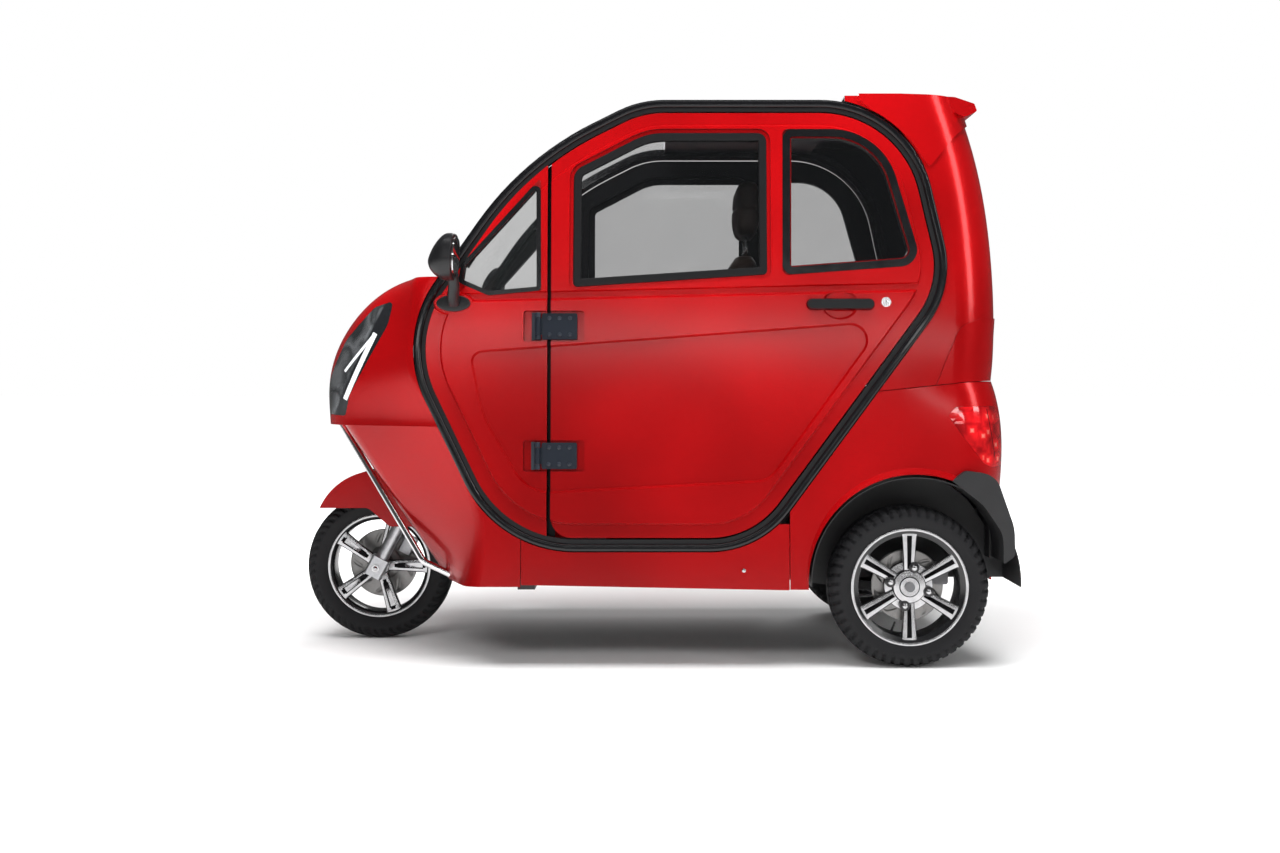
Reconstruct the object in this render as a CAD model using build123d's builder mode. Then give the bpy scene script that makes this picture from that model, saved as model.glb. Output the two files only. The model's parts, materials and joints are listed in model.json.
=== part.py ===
"""Three-wheeled enclosed cabin scooter: one steered wheel in front, two driven wheels behind,
a tubular loop on each side that carries a wide front-hinged door, and red moulded body panels.

Frame: +X to the rear, +Y to the vehicle's right, +Z up, millimetres. The origin is on the ground,
midway along the length. Left-hand pieces are drawn on the leaning side plane and then mirrored.
"""

import os
from math import cos, hypot, pi, radians, sin, tan

from build123d import *

# Overall sizes
overall_length = 2160
wheelbase = 1628
tyre_radius = 235
front_axle_x = -overall_length / 2 + tyre_radius
rear_axle_x = front_axle_x + wheelbase

# Leaning side plane, flush with the outside of the loop tubes
sill_half_width = 535
sill_height = 330
side_lean = 3.05
ground_half_width = sill_half_width + sill_height * tan(radians(side_lean))
side_plane = Plane(
    origin=(0, -ground_half_width, 0),
    x_dir=(1, 0, 0),
    z_dir=(0, -cos(radians(side_lean)), sin(radians(side_lean))),
)

# Loop tube: corner x, corner height, bend radius
loop_corners = [
    (-409, 340, 355),
    (348, 340, 290),
    (919, 1108, 285),
    (794, 1660, 333),
    (0, 1660, 300),
    (-343, 1487, 900),
    (-710, 957, 340),
]
loop_tube_width = 24
loop_tube_depth = 40
loop_edge_round = 9
loop_seal_width = 12
loop_seal_top = -7
loop_seal_depth = 24
fit_gap = 0.3
door_gap = 5

# Door and front quarter panel
panel_thickness = 28
hinge_line_x = -294
door_front_x = -257
quarter_rear_x = -268
landing_gap = 6
landing_reach = 22
landing_thickness = 5
door_lower_front_round = 60
plateau_inset = 77
plateau_slope = 26
lower_plateau_height = 14
upper_plateau_height = 8
belt_height_front = 1073
belt_height_rear = 1098
belt_gap = 16
# Sunken field across quarter panel and door: corner x, corner height, corner radius
field_corners = [
    (-488, 914, 28),
    (705, 1003, 45),
    (372, 548, 70),
    (-322, 512, 120),
    (-452, 735, 300),
]
field_depth = 11
field_slope = 26

# Glazing: corner x, corner height, corner radius
door_window_corners = [
    (-194, 1107, 14),
    (371, 1144, 14),
    (370, 1560, 26),
    (23, 1560, 200),
    (-192, 1449, 42),
]
rear_pane_corners = [
    (415, 1141, 18),
    (822, 1171, 50),
    (706, 1570, 195),
    (417, 1570, 16),
]
quarter_pane_corners = [
    (-527, 1120, 8),
    (-440, 1082, 30),
    (-286, 1096, 6),
    (-288, 1428, 5),
    (-519, 1172, 14),
]
window_seal_width = 23
window_seal_height = 15
window_recess_margin = 11
glass_thickness = 5
glass_bearing = 9

# Hinges: centre heights up the side plane
hinge_heights = (992, 617)
hinge_leaf_length = 112
hinge_leaf_width = 76
hinge_leaf_thickness = 9
hinge_barrel_radius = 8
hinge_pin_radius = 3
hinge_pin_clearance = 0.05
hinge_axis_out = 9
hinge_pocket_margin = 7

# Door handle and lock
handle_centre = (581, 1055)
handle_length = 198
handle_width = 34
handle_thickness = 15
handle_cup_size = (104, 88)
handle_cup_depth = 9
lock_centre = (714, 1062)
lock_radius = 14
lock_rise = 4

# Mirrors
mirror_base_centre = (-539, 1058)
mirror_base_size = (98, 48)
mirror_pad_out = 11
mirror_housing_depth = 150

# Windscreen and roof
screen_base = (-600, 1118)
roof_front_x = 77
roof_rear_x = 600
roof_thickness = 12
roof_crown = 32
glazing_drop = 9

# Nose: height, front face x, half width at the front face, front corner radius
nose_upper_rows = [
    (700, -958, 330, 190),
    (800, -962, 335, 205),
    (900, -944, 340, 215),
    (1000, -888, 345, 180),
    (1084, -800, 350, 130),
    (1136, -690, 350, 50),
]
nose_lower_rows = [
    (240, -572, 375, 30),
    (450, -725, 355, 50),
    (702, -902, 335, 80),
]
nose_back_x = -343
nose_shoulder_rows = [(232, -500), (450, -470), (705, -585), (800, -632), (900, -666), (1200, -640)]
body_wall = 5
body_flush = 2

# Lower and upper rear body: height, rear face x, half width at the rear, corner radius
rear_lower_rows = [
    (232, 1062, 512, 140),
    (585, 1077, 520, 150),
    (740, 1073, 508, 150),
    (835, 1050, 490, 150),
]
rear_upper_rows = [
    (780, 1042, 488, 150),
    (1040, 1062, 478, 150),
    (1200, 1056, 466, 150),
    (1400, 1032, 452, 150),
    (1600, 982, 438, 150),
    (1668, 958, 432, 150),
]
rear_body_front_x = 330
seam_front = (650, 797)
seam_rear = (1100, 838)
seam_gap = 2
spoiler_tip = (997, 1630)
spoiler_top_rear = (989, 1648)
spoiler_root = (847, 1457)
spoiler_half_width = 424
corner_swell = 5
rear_window_size = (600, 330)
rear_window_height = 1235
rear_window_round = 70

# Wheel arches
arch_centre = (796, 253)
arch_radius = 310
flare_width = 34
flare_rise = 16
liner_inner_y = 330
liner_gap = 8
liner_wall = 3

# Rear wheels
rear_tyre_width = 125
rear_wheel_outer_y = 515
rear_wheel_y = rear_wheel_outer_y - rear_tyre_width / 2
rim_lip_radius = 170
rim_seat_radius = 153
rim_wall = 5
rear_disc_radius = 105
rear_disc_inset = 66
rear_plate_y = 436
rear_disc_y = rear_wheel_y + rear_disc_inset - 62
axle_radius = 14
axle_clearance = 0.05

# Front wheel and steering
rake = 27.7
steer_out = (sin(radians(rake)), cos(radians(rake)))
front_tyre_width = 96
front_lip_radius = 165
front_disc_radius = 110
front_disc_y = 45
front_axle_radius = 8
fork_leg_y = 76
caliper_inner_y = 35
caliper_span = (58, 116)
fork_slider_radius = 20
fork_tube_radius = 15
fork_slider_top = 330
clamp_height = 436
clamp_thickness = 24
stem_radius = 14
stem_top = 838
head_tube_radius = 23
head_tube_span = (475, 640)
bar_height = 850
bar_radius = 11
bar_half_width = 290
bar_sweep = 60
grip_radius = 16
grip_length = 115
well_radius = 330
well_half_width = 232
steering_hole_radius = 112
steer_plane = Plane(
    origin=(front_axle_x, 0, tyre_radius),
    x_dir=(steer_out[1], 0, -steer_out[0]),
    z_dir=(steer_out[0], 0, steer_out[1]),
)

# Front mudguard
mudguard_centre = (-839, 344)
mudguard_radius = 202.5
mudguard_half_width = 104
mudguard_wall = 4

# Floor, frame and seats
floor_top = 266
floor_sheet = 4
floor_half_width = 482
foot_panel_centre_x = -270
foot_panel_size = (260, 780)
foot_panel_rise = 2
bulkhead_gap = 1
steering_notch_bottom = 545
deck_height = 500
deck_half_width = 322
rail_y = 250
rail_size = 40
rail_top = floor_top - floor_sheet




def inset(corners, distance):
    """Corners of a counter-clockwise outline moved inwards by a distance, with concentric bends."""
    moved = []
    count = len(corners)
    for i, (x, z, r) in enumerate(corners):
        before = corners[i - 1]
        after = corners[(i + 1) % count]
        in_x, in_z = x - before[0], z - before[1]
        out_x, out_z = after[0] - x, after[1] - z
        in_length, out_length = hypot(in_x, in_z), hypot(out_x, out_z)
        in_x, in_z = in_x / in_length, in_z / in_length
        out_x, out_z = out_x / out_length, out_z / out_length
        turn = in_x * out_z - in_z * out_x
        share = (1 - (in_x * out_x + in_z * out_z)) / turn
        bend = r - distance if turn > 0 else r + distance
        moved.append(
            (
                x - distance * in_z - distance * share * in_x,
                z + distance * in_x - distance * share * in_z,
                max(bend, 1) if r > 0 else 0,
            )
        )
    return moved


def closed_outline(corners):
    """A closed line through corners (x, y, radius), drawn in the open BuildLine block."""
    FilletPolyline(
        *[(x, y) for x, y, r in corners], radius=[r for x, y, r in corners], close=True
    )


def side_half_width(height):
    """Half width of the leaning side plane at a height above the ground."""
    return ground_half_width - height * tan(radians(side_lean))


loop_inner = inset(loop_corners, loop_tube_width)
seal_inner = inset(loop_corners, loop_tube_width + loop_seal_width)
fixed_outline = inset(loop_corners, loop_tube_width + loop_seal_width + fit_gap)
panel_outline = inset(loop_corners, loop_tube_width + loop_seal_width + door_gap)

# Side frames: one tube loop on each side, with a rubber seal band inside the tube
with BuildPart() as side_frames:
    with BuildSketch(side_plane):
        with BuildLine():
            closed_outline(loop_corners)
        make_face()
        with BuildLine():
            closed_outline(loop_inner)
        make_face(mode=Mode.SUBTRACT)
    extrude(amount=-loop_tube_depth)
    fillet(
        side_frames.edges().filter_by(lambda e: abs(side_plane.to_local_coords(e).center().Z) < 0.1),
        radius=loop_edge_round,
    )
    with BuildSketch(side_plane.offset(loop_seal_top)):
        with BuildLine():
            closed_outline(loop_inner)
        make_face()
        with BuildLine():
            closed_outline(seal_inner)
        make_face(mode=Mode.SUBTRACT)
    extrude(amount=-loop_seal_depth)
    mirror(about=Plane.XZ)


def at_side(out):
    """The leaning side plane moved outwards by a distance."""
    return side_plane.offset(out)


def hinge_plane(height):
    """Plane square to the hinge line, at a height up the side plane."""
    return Plane(
        origin=at_side(hinge_axis_out).from_local_coords((hinge_line_x, height, 0)),
        x_dir=(1, 0, 0),
        z_dir=side_plane.y_dir,
    )


panel_out = -4
plateau_outline = inset(loop_corners, plateau_inset)
belt_line = ((-760, belt_height_front - 10), (960, belt_height_rear + 6))
pane_tops = panel_out + upper_plateau_height

# Side skin: the moulded panel as one form, later cut into quarter panel and door
with BuildPart() as side_skin:
    with BuildSketch(at_side(panel_out)):
        with BuildLine():
            closed_outline(fixed_outline)
        make_face()
    extrude(amount=-panel_thickness)
    with BuildSketch(at_side(panel_out - 1)):
        with BuildLine():
            closed_outline(plateau_outline)
        make_face()
        with BuildLine():
            Polyline((-900, 200), (1100, 200), belt_line[1], belt_line[0], close=True)
        make_face(mode=Mode.INTERSECT)
    extrude(amount=lower_plateau_height + 1, taper=plateau_slope)
    with BuildSketch(at_side(panel_out - 1)):
        with BuildLine():
            closed_outline(plateau_outline)
        make_face()
        with BuildLine():
            Polyline(
                (belt_line[0][0], belt_line[0][1] + belt_gap),
                (belt_line[1][0], belt_line[1][1] + belt_gap),
                (1100, 1800),
                (-900, 1800),
                close=True,
            )
        make_face(mode=Mode.INTERSECT)
    extrude(amount=upper_plateau_height + 1, taper=plateau_slope)
    with BuildSketch(at_side(panel_out + lower_plateau_height - field_depth)):
        with BuildLine():
            closed_outline(field_corners)
        make_face()
    extrude(amount=field_depth + 1, taper=-field_slope, mode=Mode.SUBTRACT)

# Front quarter panels, fixed ahead of the doors, with a triangular pane and hinge pockets
with BuildPart() as quarter_panels:
    add(side_skin.part)
    with BuildSketch(at_side(0)):
        with BuildLine():
            Polyline((-900, 200), (quarter_rear_x, 200), (quarter_rear_x, 1800), (-900, 1800), close=True)
        make_face()
    extrude(amount=60, both=True, mode=Mode.INTERSECT)
    with BuildSketch(at_side(0)):
        with BuildLine():
            closed_outline(inset(quarter_pane_corners, 12))
        make_face()
    extrude(amount=60, both=True, mode=Mode.SUBTRACT)
    with BuildSketch(at_side(pane_tops - glass_thickness - fit_gap)):
        with BuildLine():
            closed_outline(quarter_pane_corners)
        make_face()
        offset(amount=fit_gap, kind=Kind.INTERSECTION)
    extrude(amount=60, mode=Mode.SUBTRACT)
    for height in hinge_heights:
        with BuildSketch(at_side(panel_out - 6)):
            with Locations((hinge_line_x - 5, height)):
                RectangleRounded(2 * (hinge_barrel_radius + hinge_pocket_margin) + 44, 90, 8)
        extrude(amount=60, mode=Mode.SUBTRACT)
    with BuildSketch(at_side(panel_out - 1)):
        with Locations(mirror_base_centre):
            Ellipse(mirror_base_size[0] / 2 + 12, mirror_base_size[1] / 2 + 12)
    extrude(amount=mirror_pad_out - panel_out + 1, taper=20)
    landing_top = panel_out - panel_thickness - landing_gap
    landing_steps = (
        (quarter_rear_x, panel_out - panel_thickness),
        (quarter_rear_x + landing_reach, landing_top),
    )
    for x_to, top in landing_steps:
        with BuildSketch(at_side(landing_top - landing_thickness)):
            with BuildLine():
                closed_outline(fixed_outline)
            make_face()
            with BuildLine():
                x_from = quarter_rear_x - 20
                Polyline((x_from, 200), (x_to, 200), (x_to, 1800), (x_from, 1800), close=True)
            make_face(mode=Mode.INTERSECT)
        extrude(amount=top - landing_top + landing_thickness)
    mirror(about=Plane.XZ)

# Door, left: panel with two window openings, hinge pockets and a cup under the handle
with BuildPart() as door_panel_left:
    add(side_skin.part)
    with BuildSketch(at_side(0)):
        with BuildLine():
            closed_outline(panel_outline)
        make_face()
        with BuildLine():
            Polyline((door_front_x, 200), (1100, 200), (1100, 1800), (door_front_x, 1800), close=True)
        make_face(mode=Mode.INTERSECT)
        fillet(
            [door_vertex for door_vertex in vertices().group_by(Axis.X)[0].sort_by(Axis.Y)][0:1],
            radius=door_lower_front_round,
        )
    extrude(amount=60, both=True, mode=Mode.INTERSECT)
    for corners in (door_window_corners, inset(rear_pane_corners, 26)):
        with BuildSketch(at_side(0)):
            with BuildLine():
                closed_outline(corners)
            make_face()
            if corners is door_window_corners:
                offset(amount=fit_gap, kind=Kind.INTERSECTION)
        extrude(amount=60, both=True, mode=Mode.SUBTRACT)
    with BuildSketch(at_side(panel_out)):
        with BuildLine():
            closed_outline(door_window_corners)
        make_face()
        offset(amount=window_recess_margin, kind=Kind.INTERSECTION)
    extrude(amount=60, mode=Mode.SUBTRACT)
    with BuildSketch(at_side(pane_tops - glass_thickness - fit_gap)):
        with BuildLine():
            closed_outline(rear_pane_corners)
        make_face()
        offset(amount=fit_gap, kind=Kind.INTERSECTION)
    extrude(amount=60, mode=Mode.SUBTRACT)
    for height in hinge_heights:
        with BuildSketch(at_side(panel_out - 6)):
            with Locations((door_front_x + 45, height)):
                RectangleRounded(90 + 14, hinge_leaf_width + 14, 8)
        extrude(amount=60, mode=Mode.SUBTRACT)
    with BuildSketch(at_side(panel_out + lower_plateau_height - handle_cup_depth)):
        with Locations(handle_centre):
            Ellipse(handle_cup_size[0] / 2 - 6, handle_cup_size[1] / 2 - 6)
    extrude(amount=handle_cup_depth + 1, taper=-35, mode=Mode.SUBTRACT)

# Door glass, left: the pane held in the rubber frame and the fixed pane behind it
groove_inset = window_seal_width - glass_bearing
seal_out = panel_out + 5
seal_in = seal_out - window_seal_height - 6
pane_level = panel_out - 6
with BuildPart() as door_glass_left:
    with BuildSketch(at_side(pane_level)):
        with BuildLine():
            closed_outline(inset(door_window_corners, groove_inset + fit_gap))
        make_face()
    extrude(amount=glass_thickness)
    with BuildSketch(at_side(pane_tops - glass_thickness)):
        with BuildLine():
            closed_outline(rear_pane_corners)
        make_face()
    extrude(amount=glass_thickness)

# Door trim, left: window rubber, bar handle over its cup, lock barrel and two hinge leaves
with BuildPart() as door_trim_left:
    with BuildSketch(at_side(seal_in)):
        with BuildLine():
            closed_outline(door_window_corners)
        make_face()
        with BuildLine():
            closed_outline(inset(door_window_corners, window_seal_width))
        make_face(mode=Mode.SUBTRACT)
    extrude(amount=seal_out - seal_in)
    fillet(
        door_trim_left.edges().filter_by(
            lambda e: abs(at_side(seal_out).to_local_coords(e).center().Z) < 0.1
        ),
        radius=4,
    )
    with BuildSketch(at_side(pane_level - fit_gap)):
        with BuildLine():
            closed_outline(inset(door_window_corners, groove_inset))
        make_face()
    extrude(amount=glass_thickness + 2 * fit_gap, mode=Mode.SUBTRACT)
    for height in hinge_heights:
        with BuildSketch(at_side(panel_out - 6 + fit_gap)):
            with Locations((hinge_line_x + 11 + hinge_leaf_length / 2 - 5, height)):
                RectangleRounded(hinge_leaf_length - 10, hinge_leaf_width, 5)
            with Locations((hinge_line_x + 12, height)):
                Rectangle(24, 48)
        extrude(amount=hinge_leaf_thickness + 3)
    for height in hinge_heights:
        with BuildSketch(hinge_plane(height - 24)):
            Circle(hinge_barrel_radius)
        extrude(amount=48)
        with BuildSketch(hinge_plane(height - 60)):
            Circle(hinge_pin_radius + hinge_pin_clearance)
        extrude(amount=120, mode=Mode.SUBTRACT)
    with BuildSketch(at_side(panel_out + lower_plateau_height + 9)):
        with Locations(handle_centre):
            SlotOverall(handle_length, handle_width)
    extrude(amount=handle_thickness, taper=14)
    with BuildSketch(at_side(panel_out + lower_plateau_height)):
        with Locations(
            (handle_centre[0] - handle_length / 2 + 24, handle_centre[1]),
            (handle_centre[0] + handle_length / 2 - 24, handle_centre[1]),
        ):
            Circle(13)
    extrude(amount=12)
    with BuildSketch(at_side(panel_out + lower_plateau_height)):
        with Locations(lock_centre):
            Circle(lock_radius)
    extrude(amount=lock_rise)



def blend(rows, height):
    """Straight-line reading of a table of (height, value) rows."""
    for (low, first), (high, second) in zip(rows, rows[1:]):
        if height <= high:
            return first + (second - first) * (height - low) / (high - low)
    return rows[-1][1]


def nose_section(height, front_x, half_width, corner):
    """Corners of the nose at one height: side walls, shoulders at the tube loops, front face."""
    side = side_half_width(height) - body_flush
    shoulder = blend(nose_shoulder_rows, height)
    return [
        (nose_back_x, side, 0),
        (shoulder, side, 60),
        (front_x, half_width, corner),
        (front_x, -half_width, corner),
        (shoulder, -side, 60),
        (nose_back_x, -side, 0),
    ]


def rear_section(height, rear_x, half_width, corner):
    """Corners of the rear body at one height: side walls and the rounded rear face."""
    side = side_half_width(height) - body_flush
    return [
        (rear_body_front_x, -side, 0),
        (rear_shoulder_x, -side, 120),
        (rear_x, -half_width, corner),
        (rear_x, half_width, corner),
        (rear_shoulder_x, side, 120),
        (rear_body_front_x, side, 0),
    ]


def lofted(section, rows, distance=0, drop=0, rise=0):
    """Solid through one outline per row (height, ...), moved inwards, with its ends moved too."""
    with BuildPart() as body:
        for i, row in enumerate(rows):
            shift = -drop if i == 0 else rise if i == len(rows) - 1 else 0
            with BuildSketch(Plane.XY.offset(row[0] + shift)):
                with BuildLine():
                    closed_outline(inset(section(*row), distance))
                make_face()
        loft()
    return body.part


rear_shoulder_x = 760
nose_lower = lofted(nose_section, nose_lower_rows)
nose_upper = lofted(nose_section, nose_upper_rows)
nose_lower_core = lofted(nose_section, nose_lower_rows, body_wall, drop=1, rise=8)
nose_lower_trim = lofted(nose_section, nose_lower_rows, body_wall + bulkhead_gap, drop=1, rise=8)
nose_upper_core = lofted(nose_section, nose_upper_rows, body_wall, drop=-body_wall, rise=-body_wall)


def side_prism(corners, y_from, y_to):
    """Solid with a side-view outline, corners (x, height, radius), between two widths."""
    with BuildPart() as prism:
        with BuildSketch(Plane.XZ.offset(-y_to)):
            with BuildLine():
                closed_outline(corners)
            make_face()
        extrude(amount=y_to - y_from)
    return prism.part


def drum(centre, radius, y_from, y_to):
    """Solid cylinder across the vehicle at a side-view centre."""
    with BuildPart() as roll:
        with BuildSketch(Plane.XZ.offset(-y_to)):
            with Locations(centre):
                Circle(radius)
        extrude(amount=y_to - y_from)
    return roll.part


def cut_box(x_from, x_to, y_from, y_to, z_from, z_to):
    """Plain block between six limits, used for cuts and trims."""
    with BuildPart() as block:
        with BuildSketch(Plane.XY.offset(z_from)):
            with Locations(((x_from + x_to) / 2, (y_from + y_to) / 2)):
                Rectangle(x_to - x_from, y_to - y_from)
        extrude(amount=z_to - z_from)
    return block.part


whole_width = 700
loop_prism = side_prism(loop_corners, -whole_width, whole_width)
with BuildPart() as frame_cut:
    with BuildSketch(side_plane.offset(60)):
        with BuildLine():
            closed_outline(inset(loop_corners, -fit_gap))
        make_face()
    extrude(amount=-60 - loop_tube_depth - 4)
    mirror(about=Plane.XZ)
front_well = side_prism(
    [
        (front_axle_x + well_radius, tyre_radius + well_radius, well_radius - 1),
        (front_axle_x - well_radius, tyre_radius + well_radius, well_radius - 1),
        (front_axle_x - well_radius, tyre_radius - well_radius, well_radius - 1),
        (front_axle_x + well_radius, tyre_radius - well_radius, well_radius - 1),
    ],
    -well_half_width,
    well_half_width,
)
with BuildPart() as steering_hole:
    with BuildSketch(steer_plane.offset(280)):
        Circle(steering_hole_radius)
    extrude(amount=130)

# Headlamp seen from the side: corner x, height, radius
headlamp_corners = [
    (-728, 1068, 10),
    (-790, 1052, 40),
    (-886, 955, 90),
    (-1000, 735, 20),
    (-884, 728, 10),
    (-868, 790, 60),
    (-740, 1000, 120),
]
headlamp_inner_y = 150
headlamp_depth = 45
lamp_gap = 0.5
nose_lamp_core = lofted(
    nose_section, nose_upper_rows, headlamp_depth, drop=-headlamp_depth, rise=-headlamp_depth
)
headlamp_cut = [
    side_prism(inset(headlamp_corners, -lamp_gap), low, high)
    for low, high in ((headlamp_inner_y - lamp_gap, 700), (-700, lamp_gap - headlamp_inner_y))
]

nose_back_half = side_half_width(sill_height) - body_flush - body_wall - 3
nose_back_opening = cut_box(
    nose_back_x - body_wall - 2, nose_back_x + 2, -nose_back_half, nose_back_half, 200, 400
)

# Nose shell: leg shield, shoulders and hood, hollow, open to the wheel and to the cabin
with BuildPart() as nose_shell:
    add(nose_lower)
    add(nose_upper)
    add(nose_lower_core, mode=Mode.SUBTRACT)
    add(nose_upper_core, mode=Mode.SUBTRACT)
    add(loop_prism, mode=Mode.SUBTRACT)
    add(frame_cut.part, mode=Mode.SUBTRACT)
    add(front_well, mode=Mode.SUBTRACT)
    add(nose_back_opening, mode=Mode.SUBTRACT)
    for cut in headlamp_cut:
        add(cut, mode=Mode.SUBTRACT)

with BuildPart() as headlamps:
    add(nose_upper)
    add(nose_lamp_core, mode=Mode.SUBTRACT)
    with BuildPart(mode=Mode.PRIVATE) as lamp_sides:
        for low, high in ((headlamp_inner_y, 700), (-700, -headlamp_inner_y)):
            add(side_prism(headlamp_corners, low, high))
    add(lamp_sides.part, mode=Mode.INTERSECT)

arch_trim_corners = [
    (899, 545, 0),
    (990, 474, 120),
    (1046, 390, 90),
    (1046, 304, 4),
    (1080, 330, 20),
    (1078, 410, 140),
    (1024, 562, 60),
    (938, 574, 30),
]
rear_bumper_corners = [(1040, 300, 8), (1076, 306, 14), (1078, 400, 30), (1072, 468, 10), (1040, 468, 4)]

tail_lamp_corners = [
    (893, 733, 6),
    (917, 757, 12),
    (1041, 759, 12),
    (1062, 723, 10),
    (1120, 715, 4),
    (1120, 590, 4),
    (1028, 580, 12),
    (998, 594, 20),
    (935, 672, 20),
]
tail_lamp_cut = inset(list(reversed(tail_lamp_corners)), -lamp_gap)
tail_lamp_inner_y = 400
tail_lamp_depth = 40
below_seam = [
    (300, 100, 0),
    (1300, 100, 0),
    (1300, seam_rear[1] + 0, 0),
    (950, 828, 40),
    (seam_front[0], seam_front[1], 0),
    (300, seam_front[1], 0),
]
above_seam = [
    (300, seam_front[1] + seam_gap, 0),
    (seam_front[0], seam_front[1] + seam_gap, 0),
    (950, 828 + seam_gap, 40),
    (1300, seam_rear[1] + seam_gap, 0),
    (1300, 1800, 0),
    (300, 1800, 0),
]
rear_low = lofted(rear_section, rear_lower_rows)
rear_low_core = lofted(rear_section, rear_lower_rows, body_wall, drop=1, rise=1)
rear_low_lamp_core = lofted(rear_section, rear_lower_rows, tail_lamp_depth, drop=1, rise=1)
rear_high = lofted(rear_section, rear_upper_rows)
rear_high_core = lofted(rear_section, rear_upper_rows, body_wall, drop=1, rise=-body_wall)
rear_low_front_x = 434
flare_form = lofted(rear_section, rear_lower_rows, -flare_rise)
with BuildPart() as flare_cones:
    with BuildSketch(Plane.XZ.offset(side_half_width(arch_centre[1] + arch_radius) - 22)):
        with Locations(arch_centre):
            Circle(arch_radius + flare_width)
    extrude(amount=60, taper=40)
    mirror(about=Plane.XZ)
    add(flare_form, mode=Mode.INTERSECT)
with BuildPart() as rear_lower_body:
    add(rear_low)
    add(flare_cones.part)
    add(rear_low_core, mode=Mode.SUBTRACT)
    add(side_prism(below_seam, -700, 700), mode=Mode.INTERSECT)
    add(loop_prism, mode=Mode.SUBTRACT)
    add(frame_cut.part, mode=Mode.SUBTRACT)
    add(side_prism([(0, 0, 0), (rear_low_front_x, 0, 0), (rear_low_front_x, 900, 0), (0, 900, 0)], -700, 700), mode=Mode.SUBTRACT)
    for low, high in ((liner_inner_y, 700), (-700, -liner_inner_y)):
        add(drum(arch_centre, arch_radius, low, high), mode=Mode.SUBTRACT)
        add(side_prism([(960, 0, 0), (1300, 0, 0), (1300, 480, 0), (1040, 480, 10), (941, 400, 0)], low, high), mode=Mode.SUBTRACT)
        add(side_prism(inset(arch_trim_corners, -fit_gap), low, high), mode=Mode.SUBTRACT)
    add(side_prism(inset(rear_bumper_corners, -fit_gap), -392, 392), mode=Mode.SUBTRACT)
    for low, high in ((tail_lamp_inner_y - lamp_gap, 700), (-700, lamp_gap - tail_lamp_inner_y)):
        add(side_prism(tail_lamp_cut, low, high), mode=Mode.SUBTRACT)
with BuildPart() as tail_lamps:
    add(rear_low)
    add(rear_low_lamp_core, mode=Mode.SUBTRACT)
    with BuildPart(mode=Mode.PRIVATE) as tail_lamp_sides:
        for low, high in ((tail_lamp_inner_y, 700), (-700, -tail_lamp_inner_y)):
            add(side_prism(tail_lamp_corners, low, high))
    add(tail_lamp_sides.part, mode=Mode.INTERSECT)
# Swelling of the rear corner above the lamps: corner x, height, radius
corner_swell_corners = [
    (845, 780, 0),
    (890, 893, 60),
    (931, 990, 60),
    (1000, 1016, 20),
    (1200, 1022, 0),
    (1200, 780, 0),
]
with BuildPart() as rear_upper_shell:
    add(lofted(rear_section, rear_upper_rows[:2], -corner_swell))
    add(side_prism(corner_swell_corners, -700, 700), mode=Mode.INTERSECT)
    add(rear_high)
    add(rear_high_core, mode=Mode.SUBTRACT)
    add(side_prism(above_seam, -700, 700), mode=Mode.INTERSECT)
    add(loop_prism, mode=Mode.SUBTRACT)
    add(frame_cut.part, mode=Mode.SUBTRACT)
    add(
        side_prism([(0, 0, 0), (roof_rear_x, 0, 0), (roof_rear_x, 1800, 0), (0, 1800, 0)], -700, 700),
        mode=Mode.SUBTRACT,
    )
    with BuildSketch(Plane.YZ.offset(900)):
        with Locations((0, rear_window_height)):
            RectangleRounded(*rear_window_size, rear_window_round)
    extrude(amount=300, mode=Mode.SUBTRACT)


# Space between the leaning side frames
with BuildPart() as between_frames:
    for height in (200, 1700):
        with BuildSketch(Plane.XY.offset(height)):
            with Locations((0, 0)):
                Rectangle(3000, 2 * (side_half_width(height) - loop_tube_depth - 0.5))
    loft()


def frame_sheet(region, thickness, drop=0):
    """Sheet that follows the loop outline between the side frames, within a side-view region."""
    with BuildPart() as sheet:
        add(side_prism(inset(loop_corners, drop), -700, 700))
        add(side_prism(inset(loop_corners, drop + thickness), -700, 700), mode=Mode.SUBTRACT)
        add(side_prism(region, -700, 700), mode=Mode.INTERSECT)
        add(between_frames.part, mode=Mode.INTERSECT)
    return sheet.part


# Windscreen and roof panel follow the loops between the side frames
screen_region = [
    (-900, screen_base[1], 0),
    (-400, screen_base[1], 0),
    (roof_front_x, 1500, 0),
    (roof_front_x, 1800, 0),
    (-900, 1800, 0),
]
with BuildPart() as windscreen:
    add(frame_sheet(screen_region, 6, glazing_drop - 5))
roof_region = [
    (roof_front_x + 3, 1500, 0),
    (roof_rear_x - 3, 1500, 0),
    (roof_rear_x - 3, 1800, 0),
    (roof_front_x + 3, 1800, 0),
]
with BuildPart() as roof_panel:
    add(frame_sheet(roof_region, roof_thickness, 3))
    with BuildSketch(Plane.YZ.offset(roof_front_x + 60)):
        with BuildLine():
            half = side_half_width(1650) - loop_tube_depth - 12
            ThreePointArc((-half, 1650), (0, 1650 + roof_crown / 2 + 4), (half, 1650))
            Line((half, 1650), (-half, 1650))
        make_face()
    extrude(amount=roof_rear_x - roof_front_x - 123)

# Rear glass in its opening
with BuildPart() as rear_glass:
    add(rear_high)
    add(rear_high_core, mode=Mode.SUBTRACT)
    with BuildSketch(Plane.YZ.offset(900)):
        with Locations((0, rear_window_height)):
            RectangleRounded(
                rear_window_size[0] - 2 * fit_gap, rear_window_size[1] - 2 * fit_gap, rear_window_round
            )
    extrude(amount=300, mode=Mode.INTERSECT)

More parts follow.
